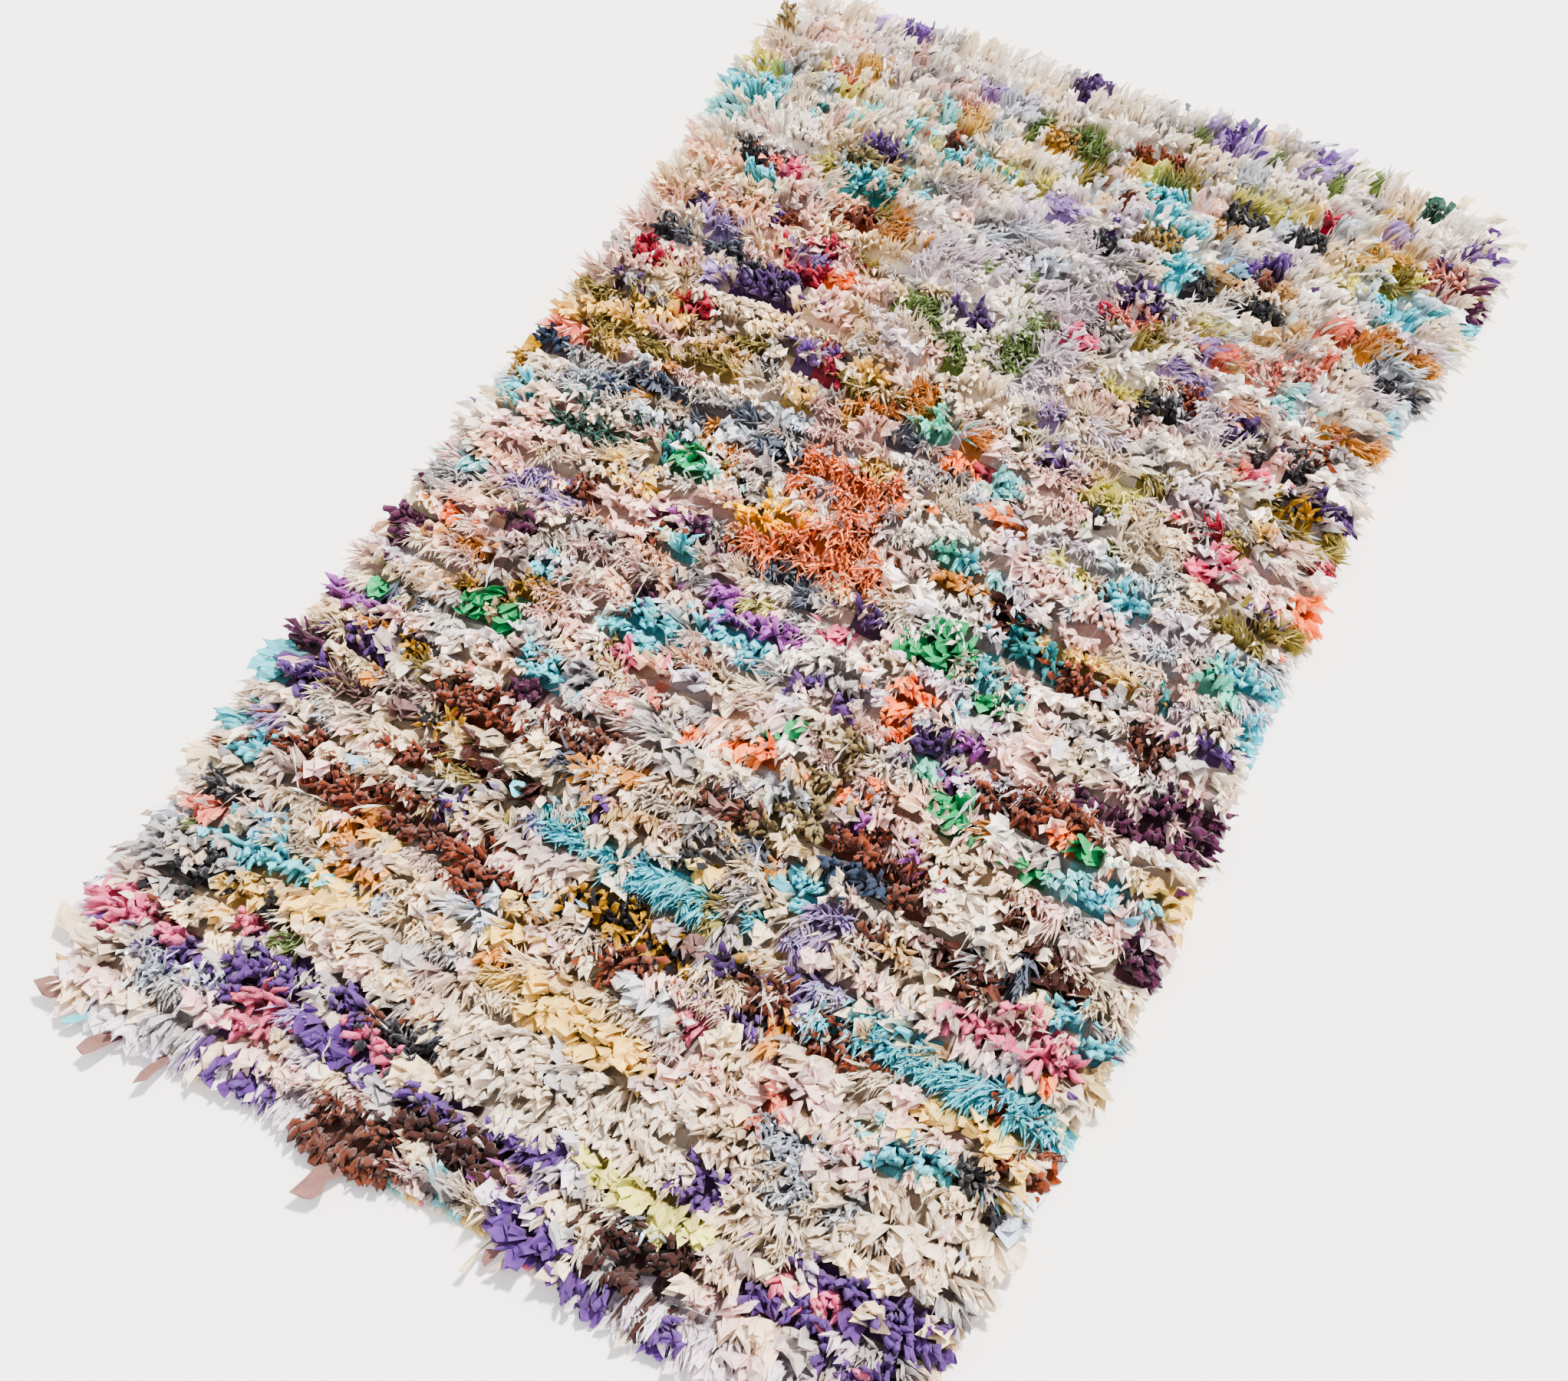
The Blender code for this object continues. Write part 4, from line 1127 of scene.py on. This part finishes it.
FAMILIES = {
    # kind: shapes and material
    "strip": (PLEATS, "cotton"),
    "petal": (PETALS, "cotton"),
    "fray": (WISPS, "frayed"),
    "jersey": (CURLS, "jersey"),
    "pleat": (PLEATS, "jersey"),
    "crumb": (WORMS, "chenille"),
    "wool": (HAIRS, "wool"),
    "curly": (HAIRS, "wool"),
    "leaf": (LEAVES, "satin"),
    "tinsel": (HAIRS, "tinsel"),
    "ribbon": (CURLS, "satin"),
}
ROOT_DEPTH = (0.007, 0.013)
ROOT_SHAKE = (0.0045, 0.0035)
SPREAD = ((-5, 1.1), (60, 1.0), (140, 0.85), (172, 0.60), (190, 0.55))
FAR_PULL = 0.35
BREADTH = ((-5, 1.30), (45, 1.12), (100, 1.0), (150, 0.92), (190, 0.90))
STRAY_SHARE = 0.10
RESTLESS_SHARE = 0.14
RIBBON_DARK_SHARE = 0.40


# %% Standing copies of a shape
PILE_LIMIT = 0.066
TOP_GIVE = 0.008
FLOOR_GIVE = 0.003
LEAST_BEND = 1e-3
# Crumpling grows from nothing at the root to its full size a third of the way up
CRUMPLE_RISE = 3


def soft_limit(values, limit, give):
    """Values above the limit are eased back, so that they pass it by at most give."""
    over = np.maximum(values - limit, 0)
    return np.where(values > limit, limit + give * (1 - np.exp(-over / give)), values)


def stand_copies(shape, locks, crumple):
    """Points of every copy of a shape, bent along its length: an array (copies, points, 3)."""
    x, y, z = (shape["points"][:, axis][None, :] for axis in range(3))
    names = ("root", "heading", "tilt", "bend", "turn", "twist", "width", "length", "floor")
    root, heading, tilt, bend, turn, twist, width, length, floor_height = map(locks.get, names)
    bend = np.where(np.abs(bend) < LEAST_BEND, LEAST_BEND, bend)
    angle = tilt[:, None] + bend[:, None] * z
    out = (np.cos(tilt)[:, None] - np.cos(angle)) / bend[:, None] * length[:, None]
    up = (np.sin(angle) - np.sin(tilt)[:, None]) / bend[:, None] * length[:, None]
    face = turn[:, None] + twist[:, None] * z
    side = (x * np.cos(face) - y * np.sin(face)) * width[:, None]
    front = (x * np.sin(face) + y * np.cos(face)) * width[:, None]
    outward = out + front * np.cos(angle)
    cos_heading, sin_heading = np.cos(heading)[:, None], np.sin(heading)[:, None]
    points = np.empty((*angle.shape, 3))
    points[..., 0] = root[:, 0, None] + outward * cos_heading + side * sin_heading
    points[..., 1] = root[:, 1, None] + outward * sin_heading - side * cos_heading
    points[..., 2] = root[:, 2, None] + up - front * np.sin(angle)
    points += rng.normal(0, crumple, points.shape) * np.clip(z * CRUMPLE_RISE, 0, 1)[..., None]
    low = -soft_limit(-points[..., 2], -floor_height[:, None] - FLOOR_GIVE, FLOOR_GIVE)
    points[..., 2] = soft_limit(low, PILE_LIMIT - TOP_GIVE, TOP_GIVE)
    return points


def stand_cuts(shapes, pick, locks, crumple, cloths, shades):
    """Batches of locks for one mesh. pick says which of the shapes each lock is cut to."""
    batches = []
    for number, shape in enumerate(shapes):
        mine = pick == number
        part = {name: values[mine] for name, values in locks.items()}
        points = stand_copies(shape, part, crumple)
        batches.append((shape, points, cloths[mine], shades[mine]))
    return batches


# %% Joining the copies into one mesh
def joined_mesh(name, batches, material, smooth):
    """One object from batches of (shape, points, cloths, shades)."""
    points, corners, starts, charts = [], [], [], []
    point_count = corner_count = 0
    for shape, places, cloths, shades in batches:
        copies, size = places.shape[:2]
        points.append(places.reshape(-1, 3))
        offsets = point_count + np.arange(copies)[:, None] * size
        corners.append((shape["corners"][None, :] + offsets).ravel())
        offsets = corner_count + np.arange(copies)[:, None] * len(shape["corners"])
        starts.append((shape["starts"][None, :] + offsets).ravel())
        chart = shape["chart"][shape["corners"]]
        across, up = chart[None, :, 0], chart[None, :, 1]
        cells = chart_place(cloths[:, None], shades[:, None], across, up)
        charts.append(cells.reshape(-1, 2))
        point_count += copies * size
        corner_count += copies * len(shape["corners"])
    points, corners, starts, charts = map(np.concatenate, (points, corners, starts, charts))
    mesh = bpy.data.meshes.new(name)
    mesh.vertices.add(len(points))
    mesh.vertices.foreach_set("co", points.astype(np.float32).ravel())
    mesh.loops.add(len(corners))
    mesh.loops.foreach_set("vertex_index", corners.astype(np.int32))
    mesh.polygons.add(len(starts))
    mesh.polygons.foreach_set("loop_start", starts.astype(np.int32))
    mesh.polygons.foreach_set("use_smooth", np.full(len(starts), smooth))
    mesh.update(calc_edges=True)
    mesh.uv_layers.new(name="OFBake").data.foreach_set("uv", charts.astype(np.float32).ravel())
    mesh.materials.append(MATERIALS[material])
    obj = bpy.data.objects.new(name, mesh)
    bpy.context.scene.collection.objects.link(obj)
    print(name, len(corners) - 2 * len(starts), "triangles")
    return obj


# %% The lean at each knot
RIM_REACH = 0.060
RIM_FALL = 1.5
TUFT_CHANCE = 0.45
TUFT_GATHER = 0.18
TUFT_LEAN = (0.30, 0.22)
TUFT_UNEVENNESS = 0.07
KNOT_LEAN = 0.12
ROW_HEIGHTS = (0.90, 1.06)
FAR_TRIM = 0.84
BARE_PLACES = (0.48, 0.53, 0.72, 0.78)
BARE_CALM = 0.75
edge_left, edge_right, edge_near, edge_far = plan_edges(*knots.T)


def bare_roll(x):
    """One where the near end's roll lies bare, nought elsewhere, by distance across."""
    return np.interp(x, BARE_PLACES, (0, 1, 1, 0))


def rim_pull(distance):
    return np.clip(1 - distance / RIM_REACH, 0, 1) ** RIM_FALL


pull = np.zeros((len(knots), 2))
pull[:, 0] = rim_pull(edge_right - knots[:, 0]) - rim_pull(knots[:, 0] - edge_left)
near_pull = rim_pull(knots[:, 1] - edge_near) * (1 - BARE_CALM * bare_roll(knots[:, 0]))
pull[:, 1] = rim_pull(edge_far - knots[:, 1]) * FAR_PULL - near_pull
tuft_starts = rng.random((LENGTH_STEPS, KNOTS_IN_ROW)) < TUFT_CHANCE
tuft_starts[:, 0] = True
tuft_of = np.cumsum(tuft_starts.ravel()) - 1
knot_lean = rng.normal(0, TUFT_LEAN, (tuft_of[-1] + 1, 2))[tuft_of]
knot_lean += rng.normal(0, KNOT_LEAN, (len(knots), 2))
knot_lean[:, 0] += 0.15 * np.sin(knots[:, 1] * 11) * np.sin(knots[:, 0] * 7 + 1)
tuft_size = np.bincount(tuft_of)
tuft_middle = np.stack(
    [np.bincount(tuft_of, knots[:, axis]) / tuft_size for axis in range(2)], axis=1
)
gather = (tuft_middle[tuft_of] - knots) * TUFT_GATHER
tuft_length = rng.normal(1, TUFT_UNEVENNESS, len(tuft_size))[tuft_of]
tuft_length *= np.interp(knots[:, 1], (0, 1.60, LENGTH), (1, 1, FAR_TRIM))
swell = 1 + 0.07 * np.sin(knots[:, 0] * 31 + row_of * 1.7)
swell = swell + 0.05 * np.sin(knots[:, 0] * 67 + row_of * 2.9)
row_swell = rng.uniform(*ROW_HEIGHTS, LENGTH_STEPS)[row_of] * swell * tuft_length


# %% The locks of one kind of rag
NEAR_ROW_REACH = 0.040
PULL_ACROSS_ALONG = (0.9, 1.9)
TILT_SHARE = 0.30
BEND_SHARE = 0.85
BEND_SHAKE = 0.30
TWIST_SHAKE = 0.35
LENDER_REACH = 3


def grow_kind(kind, chosen):
    """Batches of locks on these knots."""
    habit = dict(zip(HABIT_PARTS, HABITS[kind]))
    shapes, _ = FAMILIES[kind]
    owners = np.repeat(np.flatnonzero(chosen), habit["count"])
    count = len(owners)
    root = np.zeros((count, 3))
    root[:, :2] = (knots + gather)[owners] + shift + rng.normal(0, ROOT_SHAKE, (count, 2))
    root[:, 2] = rng.uniform(*ROOT_DEPTH, count)
    lean = habit["lean"] * stance[owners]
    # Beside the bare roll the near row leans back a little
    in_near_row = knots[owners, 1] - edge_near[owners] < NEAR_ROW_REACH
    lean[:, 1] *= 1 - 1.2 * (in_near_row * bare_roll(knots[owners, 0]))
    spread = by_place(SPREAD, knots_cm[owners, 1])[:, None]
    lean += (knot_lean[owners] + rng.normal(0, habit["spread"], (count, 2))) * spread
    lean += pull[owners] * PULL_ACROSS_ALONG
    amount = np.hypot(lean[:, 0], lean[:, 1])
    width = rng.uniform(*habit["width"], count) / 1000
    width *= by_place(BREADTH, knots_cm[owners, 1])
    length = rng.uniform(*habit["length"], count) / 1000 * row_swell[owners]
    locks = {
        "root": root,
        "heading": np.arctan2(lean[:, 1], lean[:, 0]),
        "tilt": TILT_SHARE * amount,
        "bend": BEND_SHARE * amount + rng.normal(0, BEND_SHAKE, count) * habit["curl"],
        "turn": rng.uniform(-1, 1, count) * habit["turn"],
        "twist": rng.normal(0, TWIST_SHAKE, count) * min(habit["curl"], 1.0),
        "width": width,
        "length": length,
        "floor": np.full(count, GROUND_TOP),
    }
    if shapes is PLEATS:
        locks["turn"] += np.pi
    shades = knot_shade[owners]
    cloths = knot_cloth[owners]
    if kind == "ribbon":
        dark = rng.random(count) < RIBBON_DARK_SHARE
        cloths = np.where(dark, CLOTH_NAMES.index("charcoal"), cloths)
    else:
        stray = rng.random(count) < STRAY_SHARE
        lender = owners + rng.integers(-LENDER_REACH, LENDER_REACH + 1, count)
        lender = np.clip(lender, 0, len(knots) - 1)
        cloths = np.where(stray, knot_cloth[lender], cloths)
    restless = rng.random(count) < RESTLESS_SHARE
    shades = np.where(restless, pick_shades(knots_cm[owners, 1]), shades)
    pick = rng.integers(0, len(shapes), count)
    return stand_cuts(shapes, pick, locks, habit["crumple"] / 1000, cloths, shades)


# %% The pile, one piece for each family of rags
PIECES = (
    # name, kinds, near and far limits in cm, smooth shading
    ("rag_strips_near", ("strip", "petal"), -10, 58, False),
    ("rag_strips_middle", ("strip", "petal"), 58, 125, False),
    ("rag_strips_far", ("strip", "petal"), 125, 200, False),
    ("frayed_tufts_near", ("fray",), -10, 105, False),
    ("frayed_tufts_far", ("fray",), 105, 200, False),
    ("jersey_curls", ("jersey", "pleat"), -10, 200, True),
    ("chenille_tufts", ("crumb",), -10, 200, True),
    ("wool_locks", ("wool", "curly"), -10, 200, True),
    ("satin_leaves", ("leaf", "ribbon"), -10, 200, False),
    ("tinsel_locks", ("tinsel",), -10, 200, False),
)
for name, members, near, far, smooth in PIECES:
    batches = []
    for kind in members:
        chosen = (knot_kind == kind) & (knots_cm[:, 1] >= near) & (knots_cm[:, 1] < far)
        if chosen.any():
            batches += grow_kind(kind, chosen)
    piece = joined_mesh(name, batches, FAMILIES[members[0]][1], smooth)
    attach(piece, "root")
    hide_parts("pile")

# %% [markdown]
# Here and there a thread has worked out of its rag and lies over the pile in a wavy line. The
# threads are copies of the same wavy hair as the wool.

# %% Loose threads
THREADS = 90
THREAD_CRUMPLE = 0.0018
THREAD_CLOTHS = ("white", "ivory", "cream", "silver", "ice", "blush")
over = rng.integers(0, len(knots), THREADS)
thread_locks = {
    "root": np.column_stack([knots[over] + shift, rng.uniform(0.040, 0.046, THREADS)]),
    "heading": rng.uniform(-np.pi, np.pi, THREADS),
    "tilt": rng.uniform(0.9, 1.3, THREADS),
    "bend": rng.uniform(0.2, 1.1, THREADS),
    "turn": rng.uniform(-3, 3, THREADS),
    "twist": rng.normal(0, 1.0, THREADS),
    "width": rng.uniform(0.0008, 0.0013, THREADS),
    "length": rng.uniform(0.030, 0.060, THREADS),
    "floor": np.full(THREADS, 0.030),
}
numbers = np.arange(THREADS)
thread_cloths = np.array([CLOTH_NAMES.index(cloth) for cloth in THREAD_CLOTHS])
thread_batches = stand_cuts(
    HAIRS, numbers % len(HAIRS), thread_locks, THREAD_CRUMPLE,
    thread_cloths[numbers % len(THREAD_CLOTHS)], np.zeros(THREADS, int),
)
threads = joined_mesh("loose_threads", thread_batches, "wool", True)
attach(threads, "root")
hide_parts("pile")

# %% [markdown]
# ## The woven ground
# Under the pile lies a plain weave of cotton and wool, four millimetres thick, that the knots
# are tied into. It shows only from below and between locks at the rim. It is one thin closed
# sheet: a grid laid on the outline, then given its thickness.

# %% The ground's weave
WEAVE_DARK = (0.52, 0.43, 0.33, 1)
WEAVE_LIGHT = (0.66, 0.60, 0.50, 1)
weave, weave_tree, weave_shader = new_material("ground_weave_cloth")
maths = Socket(weave_tree)
place_on = maths.node("ShaderNodeTexCoord", give=3)
warp = wave(maths, "X", place_on, 60.0)
weft = wave(maths, "Y", place_on, 80.0, 0.6)
slub = noise(maths, place_on, 40.0, 3.0)
stripe = noise(maths, place_on, 6.0, 1.0)
shade_part = 0.55 + warp * 0.15 + weft * 0.2 + slub * 0.3
tone = blend(maths, "MIX", stripe, WEAVE_DARK, WEAVE_LIGHT)
tone = maths.node("ShaderNodeHueSaturation", inputs={"Value": shade_part, "Color": tone})
weave_relief = warp * 0.5 + weft * 0.5 + slub * 0.3
weave_inputs = {"Strength": 0.9, "Distance": RELIEF_UNIT, "Height": weave_relief}
weave_bump = maths.node("ShaderNodeBump", inputs=weave_inputs)
weave_tree.links.new(tone.output, weave_shader.inputs["Base Color"])
weave_tree.links.new(weave_bump.output, weave_shader.inputs["Normal"])
weave_shader.inputs["Roughness"].default_value = 0.95
weave_shader.inputs["Sheen Weight"].default_value = 0.2

# %% The ground sheet
SHEET_THICKNESS = 0.0034
SHEET_HEIGHT = 0.0003
RIPPLE_HEIGHT = 0.00025
bpy.ops.object.select_all(action="DESELECT")
bpy.ops.mesh.primitive_grid_add(
    x_subdivisions=CROSS_STEPS, y_subdivisions=LENGTH_STEPS, size=1, location=(0, 0, 0)
)
ground = bpy.context.object
ground.name = ground.data.name = "ground_cloth"
flat = read_points(ground.data)
laid = plan_points(flat[:, 0] + 0.5, flat[:, 1] + 0.5)
ripple = RIPPLE_HEIGHT * np.sin(laid[:, 0] * 40 + laid[:, 1] * 23) * np.sin(laid[:, 1] * 31)
flat[:, :2] = laid + shift
flat[:, 2] = SHEET_HEIGHT + np.abs(ripple)
ground.data.vertices.foreach_set("co", flat.astype(np.float32).ravel())
ground.data.update()
thick = ground.modifiers.new("thickness", "SOLIDIFY")
thick.thickness = SHEET_THICKNESS
thick.offset = 1
bpy.ops.object.modifier_apply(modifier="thickness")
ground.data.materials.append(weave)
bpy.ops.object.mode_set(mode="EDIT")
bpy.ops.mesh.select_all(action="SELECT")
bpy.ops.mesh.normals_make_consistent(inside=False)
bpy.ops.object.mode_set(mode="OBJECT")
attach(ground, "root")
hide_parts("ground_weave")
x, y = RIM.T

# %% [markdown]
# ## The rolled edges
# The edge of the ground is rolled and overcast. Along the sides the rag goes round the side
# cords. Each roll is a rope of oval turns, one for each pass of the thread, that follows the
# outline. A turn is modelled once and copied round the rim.

# %% One turn of the overcast edge
ROLL_TURN = 0.0050
ROLL_REACH = 0.0066
ROLL_RISE = 0.0096
ROLL_BARE = 1.9
ROLL_FLOOR = 0.0002
NEAR_CHANGE = 0.45
THREAD_CHANGE = 0.12


def model_turn():
    """One turn of thread round the edge, an oval bead along the rim."""
    bpy.ops.object.select_all(action="DESELECT")
    bpy.ops.mesh.primitive_cylinder_add(vertices=8, radius=0.5, depth=0.5, location=(0, 0, 0.5))
    obj = bpy.context.object
    bpy.ops.object.mode_set(mode="EDIT")
    bpy.ops.mesh.select_mode(type="FACE")
    for side in (1, -1):
        bpy.ops.mesh.select_all(action="DESELECT")
        mesh = bmesh.from_edit_mesh(obj.data)
        for face in mesh.faces:
            face.select = face.normal.z * side > 0.9
        bmesh.update_edit_mesh(obj.data)
        bpy.ops.transform.translate(value=(0, 0, 0.25 * side))
        bpy.ops.transform.resize(value=(0.8, 0.8, 1), center_override=(0, 0, 0.5 + 0.5 * side))
    bpy.ops.object.mode_set(mode="OBJECT")
    return read_shape(obj)


TURN = model_turn()
print("Turn of thread:", TURN["triangles"], "triangles")


# %% The four rolls
def edge_stations(first, steps, pitch):
    """Points a pitch apart along one edge of the rim, with outward normals."""
    order = (first + np.arange(steps + 1)) % len(RIM)
    line, normals = RIM[order], OUTWARD[order]
    run = np.concatenate([[0], np.cumsum(np.linalg.norm(np.diff(line, axis=0), axis=1))])
    places = np.arange(pitch * 0.8, run[-1] - pitch * 0.5, pitch)
    points = np.stack([np.interp(places, run, line[:, axis]) for axis in range(2)], axis=1)
    outward = np.stack([np.interp(places, run, normals[:, axis]) for axis in range(2)], axis=1)
    return points, outward / np.linalg.norm(outward, axis=1, keepdims=True)


EDGES = {
    # edge: its first point of the rim, and its steps
    "near": (0, CROSS_STEPS),
    "right": (CROSS_STEPS, LENGTH_STEPS),
    "far": (CROSS_STEPS + LENGTH_STEPS, CROSS_STEPS),
    "left": (2 * CROSS_STEPS + LENGTH_STEPS, LENGTH_STEPS),
}
ROLLS = (
    # edge, the CAD node that its roll stands for, slot, cloths of the thread
    ("near", "end_finish_near", "end_finish", ("cream", "aqua", "butter", "pink", "ivory")),
    ("right", "selvedge_right", "selvedge", ("ivory", "tan", "cream")),
    ("far", "end_finish_far", "end_finish", ("silver", "ivory", "taupe")),
    ("left", "selvedge_left", "selvedge", ("ivory", "blush", "tan")),
)
for edge, node, slot, cloths in ROLLS:
    points, outward = edge_stations(*EDGES[edge], ROLL_TURN)
    count = len(points)
    deep = 1 + (bare_roll(points[:, 0]) * ROLL_BARE if edge == "near" else np.zeros(count))
    middle = points + outward * ROLL_REACH * deep[:, None] / 2 + shift
    across, up, along = (TURN["points"][:, axis][None, :] for axis in range(3))
    slant = rng.normal(0.25, 0.06, count)[:, None]
    fat = rng.uniform(0.92, 1.06, count)[:, None]
    forward_axis = np.stack([-outward[:, 1], outward[:, 0]], axis=1)
    reach = across * ROLL_REACH * fat * deep[:, None]
    along_edge = (along - 0.5) * ROLL_TURN * 1.1 + up * slant * ROLL_TURN
    places = np.empty((count, TURN["points"].shape[0], 3))
    for axis in range(2):
        out = outward[:, axis, None] * reach
        places[..., axis] = middle[:, axis, None] + out + forward_axis[:, axis, None] * along_edge
    places[..., 2] = np.maximum(ROLL_RISE * (0.5 + up * fat * 0.98), ROLL_FLOOR)
    change = NEAR_CHANGE if edge == "near" else THREAD_CHANGE
    run = np.cumsum(rng.random(count) < change) % len(cloths)
    indices = np.array([CLOTH_NAMES.index(cloth) for cloth in cloths])[run]
    shades = rng.choice(SHADES, count, p=SHADE_SHARES)
    roll = joined_mesh(f"{edge}_roll", [(TURN, places, indices, shades)], "cotton", True)
    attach(roll, "root")
    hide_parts(node)

# %% [markdown]
# ## Locks round the rim
# The outermost rags hang over the rolled edge and lie out on the floor, a few of them well past
# their neighbours. They are the same cuts as in the pile, leaning all the way over. The ends of
# rag that stand out most in the picture are broad or thick cuts of their own, placed one by one.

# %% Stray locks
STRAY_LOCKS = (
    # edge, distance along it, extra reach
    ("near", 0.980, 0.012),
    ("left", 0.360, 0.012),
    ("left", 1.545, 0.016),
    ("right", 0.420, 0.010),
    ("right", 0.860, 0.012),
    ("far", 0.300, 0.016),
    ("far", 0.540, 0.018),
    ("far", 0.780, 0.014),
    ("far", 0.870, 0.014),
)
LOOSE_ENDS = (
    # root across and along in cm, heading in degrees, length and width in mm, cloth
    (1.8, 11.4, 177, 56, 27, "cream"),
    (1.6, 12.2, 150, 40, 22, "lilac_white"),
    (3.0, 7.4, 188, 30, 9, "tan"),
    (5.6, 5.2, 209, 58, 24, "rosewood"),
    (7.4, 4.2, 222, 44, 17, "blush"),
    (8.4, 3.4, 232, 38, 14, "turquoise"),
    (12.6, 2.6, 247, 46, 19, "rosewood"),
    (19.6, 2.8, 265, 44, 15, "rosewood"),
    (45.2, 2.2, 258, 60, 27, "rosewood"),
    (67.2, 3.4, 248, 34, 8, "rosewood"),
    (68.8, 3.2, 244, 38, 7, "taupe"),
    (77.0, 2.4, 262, 24, 13, "lilac_white"),
    (84.0, 2.0, 262, 26, 16, "ivory"),
    (111.0, 181.2, 14, 52, 15, "ivory"),
    (110.0, 182.4, 34, 44, 17, "white"),
    (108.4, 183.4, 52, 42, 15, "ivory"),
    (104.5, 184.6, 70, 38, 16, "cream"),
    (113.0, 177.0, 4, 30, 13, "white"),
    (65.2, 2.8, 262, 46, 2.6, "cream"),
    (61.5, 186.0, 80, 24, 8, "slate"),
    (64.0, 186.4, 95, 22, 7, "slate"),
    (73.5, 187.0, 75, 24, 9, "slate"),
    (82.5, 187.2, 85, 20, 12, "slate"),
    (86.5, 186.8, 70, 22, 10, "slate"),
)
LOOSE_RINGS = (0.25, (0.50, 0.06, 0.95), (0.75, 0.02, 1.0), (1.0, 0.05, 0.95))
LOOSE_CUTS = ((0.12, 10), (-0.10, -8), (0.20, 4), (-0.16, 14))
RIM_LOCK_REACH = {
    "near": (0.012, 0.024), "far": (0.018, 0.030), "left": (0.008, 0.018), "right": (0.008, 0.018),
}
LOCK_PITCH = 0.0085
RIM_INSET = 0.012
RIM_CRUMPLE = 0.0008
RIM_FLOOR = 0.0004
LEAN_WAVE = 0.23
LOOSE_ROOT_HEIGHT = 0.014
LOOSE_CRUMPLE = 0.0016
LOOSE_SHADE = 5


# %% The rim's locks
def nearest_cloth(points):
    """The cloth and shade of the knot nearest to each plan point."""
    found = [np.argmin(((knots - point) ** 2).sum(axis=1)) for point in points]
    return knot_cloth[found], knot_shade[found]


def rim_locks(edge):
    points, outward = edge_stations(*EDGES[edge], LOCK_PITCH)
    count = len(points)
    distance = points[:, 0] if edge in ("near", "far") else points[:, 1]
    shortest, longest = RIM_LOCK_REACH[edge]
    reach = rng.uniform(shortest, longest, count)
    if edge == "near":
        reach *= 1 - 0.6 * bare_roll(distance)
    for stray_edge, place, extra in STRAY_LOCKS:
        if stray_edge == edge:
            reach[np.argmin(np.abs(distance - place))] += extra
    lean = 0.45 * np.sin(distance * 2 * np.pi / LEAN_WAVE) + rng.normal(0, 0.25, count)
    heading = np.arctan2(outward[:, 1], outward[:, 0]) + lean
    root = np.zeros((count, 3))
    root[:, :2] = points + outward * 0.001 + shift
    root[:, 2] = rng.uniform(0.006, 0.016, count)
    cloths, shades = nearest_cloth(points - outward * RIM_INSET)
    locks = {
        "root": root,
        "heading": heading,
        "tilt": rng.uniform(1.0, 1.5, count),
        "bend": rng.uniform(0.2, 0.9, count),
        "turn": rng.normal(0, 0.5, count),
        "twist": rng.normal(0, 0.4, count),
        "width": rng.uniform(0.010, 0.020, count),
        "length": reach + 0.006,
        "floor": np.full(count, RIM_FLOOR),
    }
    return locks, cloths, shades


loose_cuts = [(*cut, *LOOSE_RINGS) for cut in LOOSE_CUTS]
LOOSE_SHAPES = model_cuts("Loose ends", loose_cuts, 4, 0.28, 0.85)
RIM_SHAPES = PETALS + LEAVES
rim_batches = []
for edge in EDGES:
    locks, cloths, shades = rim_locks(edge)
    pick = rng.integers(0, len(RIM_SHAPES), len(cloths))
    rim_batches += stand_cuts(RIM_SHAPES, pick, locks, RIM_CRUMPLE, cloths, shades)
ends = np.array([end[:5] for end in LOOSE_ENDS])
end_count = len(ends)
end_locks = {
    "root": np.column_stack([ends[:, :2] / 100 + shift, np.full(end_count, LOOSE_ROOT_HEIGHT)]),
    "heading": np.radians(ends[:, 2]),
    "tilt": rng.uniform(0.95, 1.15, end_count),
    "bend": rng.uniform(0.35, 0.75, end_count),
    "turn": rng.normal(0, 0.2, end_count),
    "twist": rng.normal(0, 0.15, end_count),
    "width": ends[:, 4] / 1000,
    "length": ends[:, 3] / 1000,
    "floor": np.full(end_count, RIM_FLOOR),
}
end_cloths = np.array([CLOTH_NAMES.index(end[5]) for end in LOOSE_ENDS])
rim_batches += stand_cuts(
    LOOSE_SHAPES, np.arange(end_count) % len(LOOSE_SHAPES), end_locks, LOOSE_CRUMPLE,
    end_cloths, np.full(end_count, LOOSE_SHADE),
)
rim_piece = joined_mesh("rim_locks", rim_batches, "cotton", False)
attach(rim_piece, "root")
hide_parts("end_finish_near", "end_finish_far", "selvedge_left", "selvedge_right")

# %% [markdown]
# ## Closing

# %% The last line
bpy.context.view_layer.update()
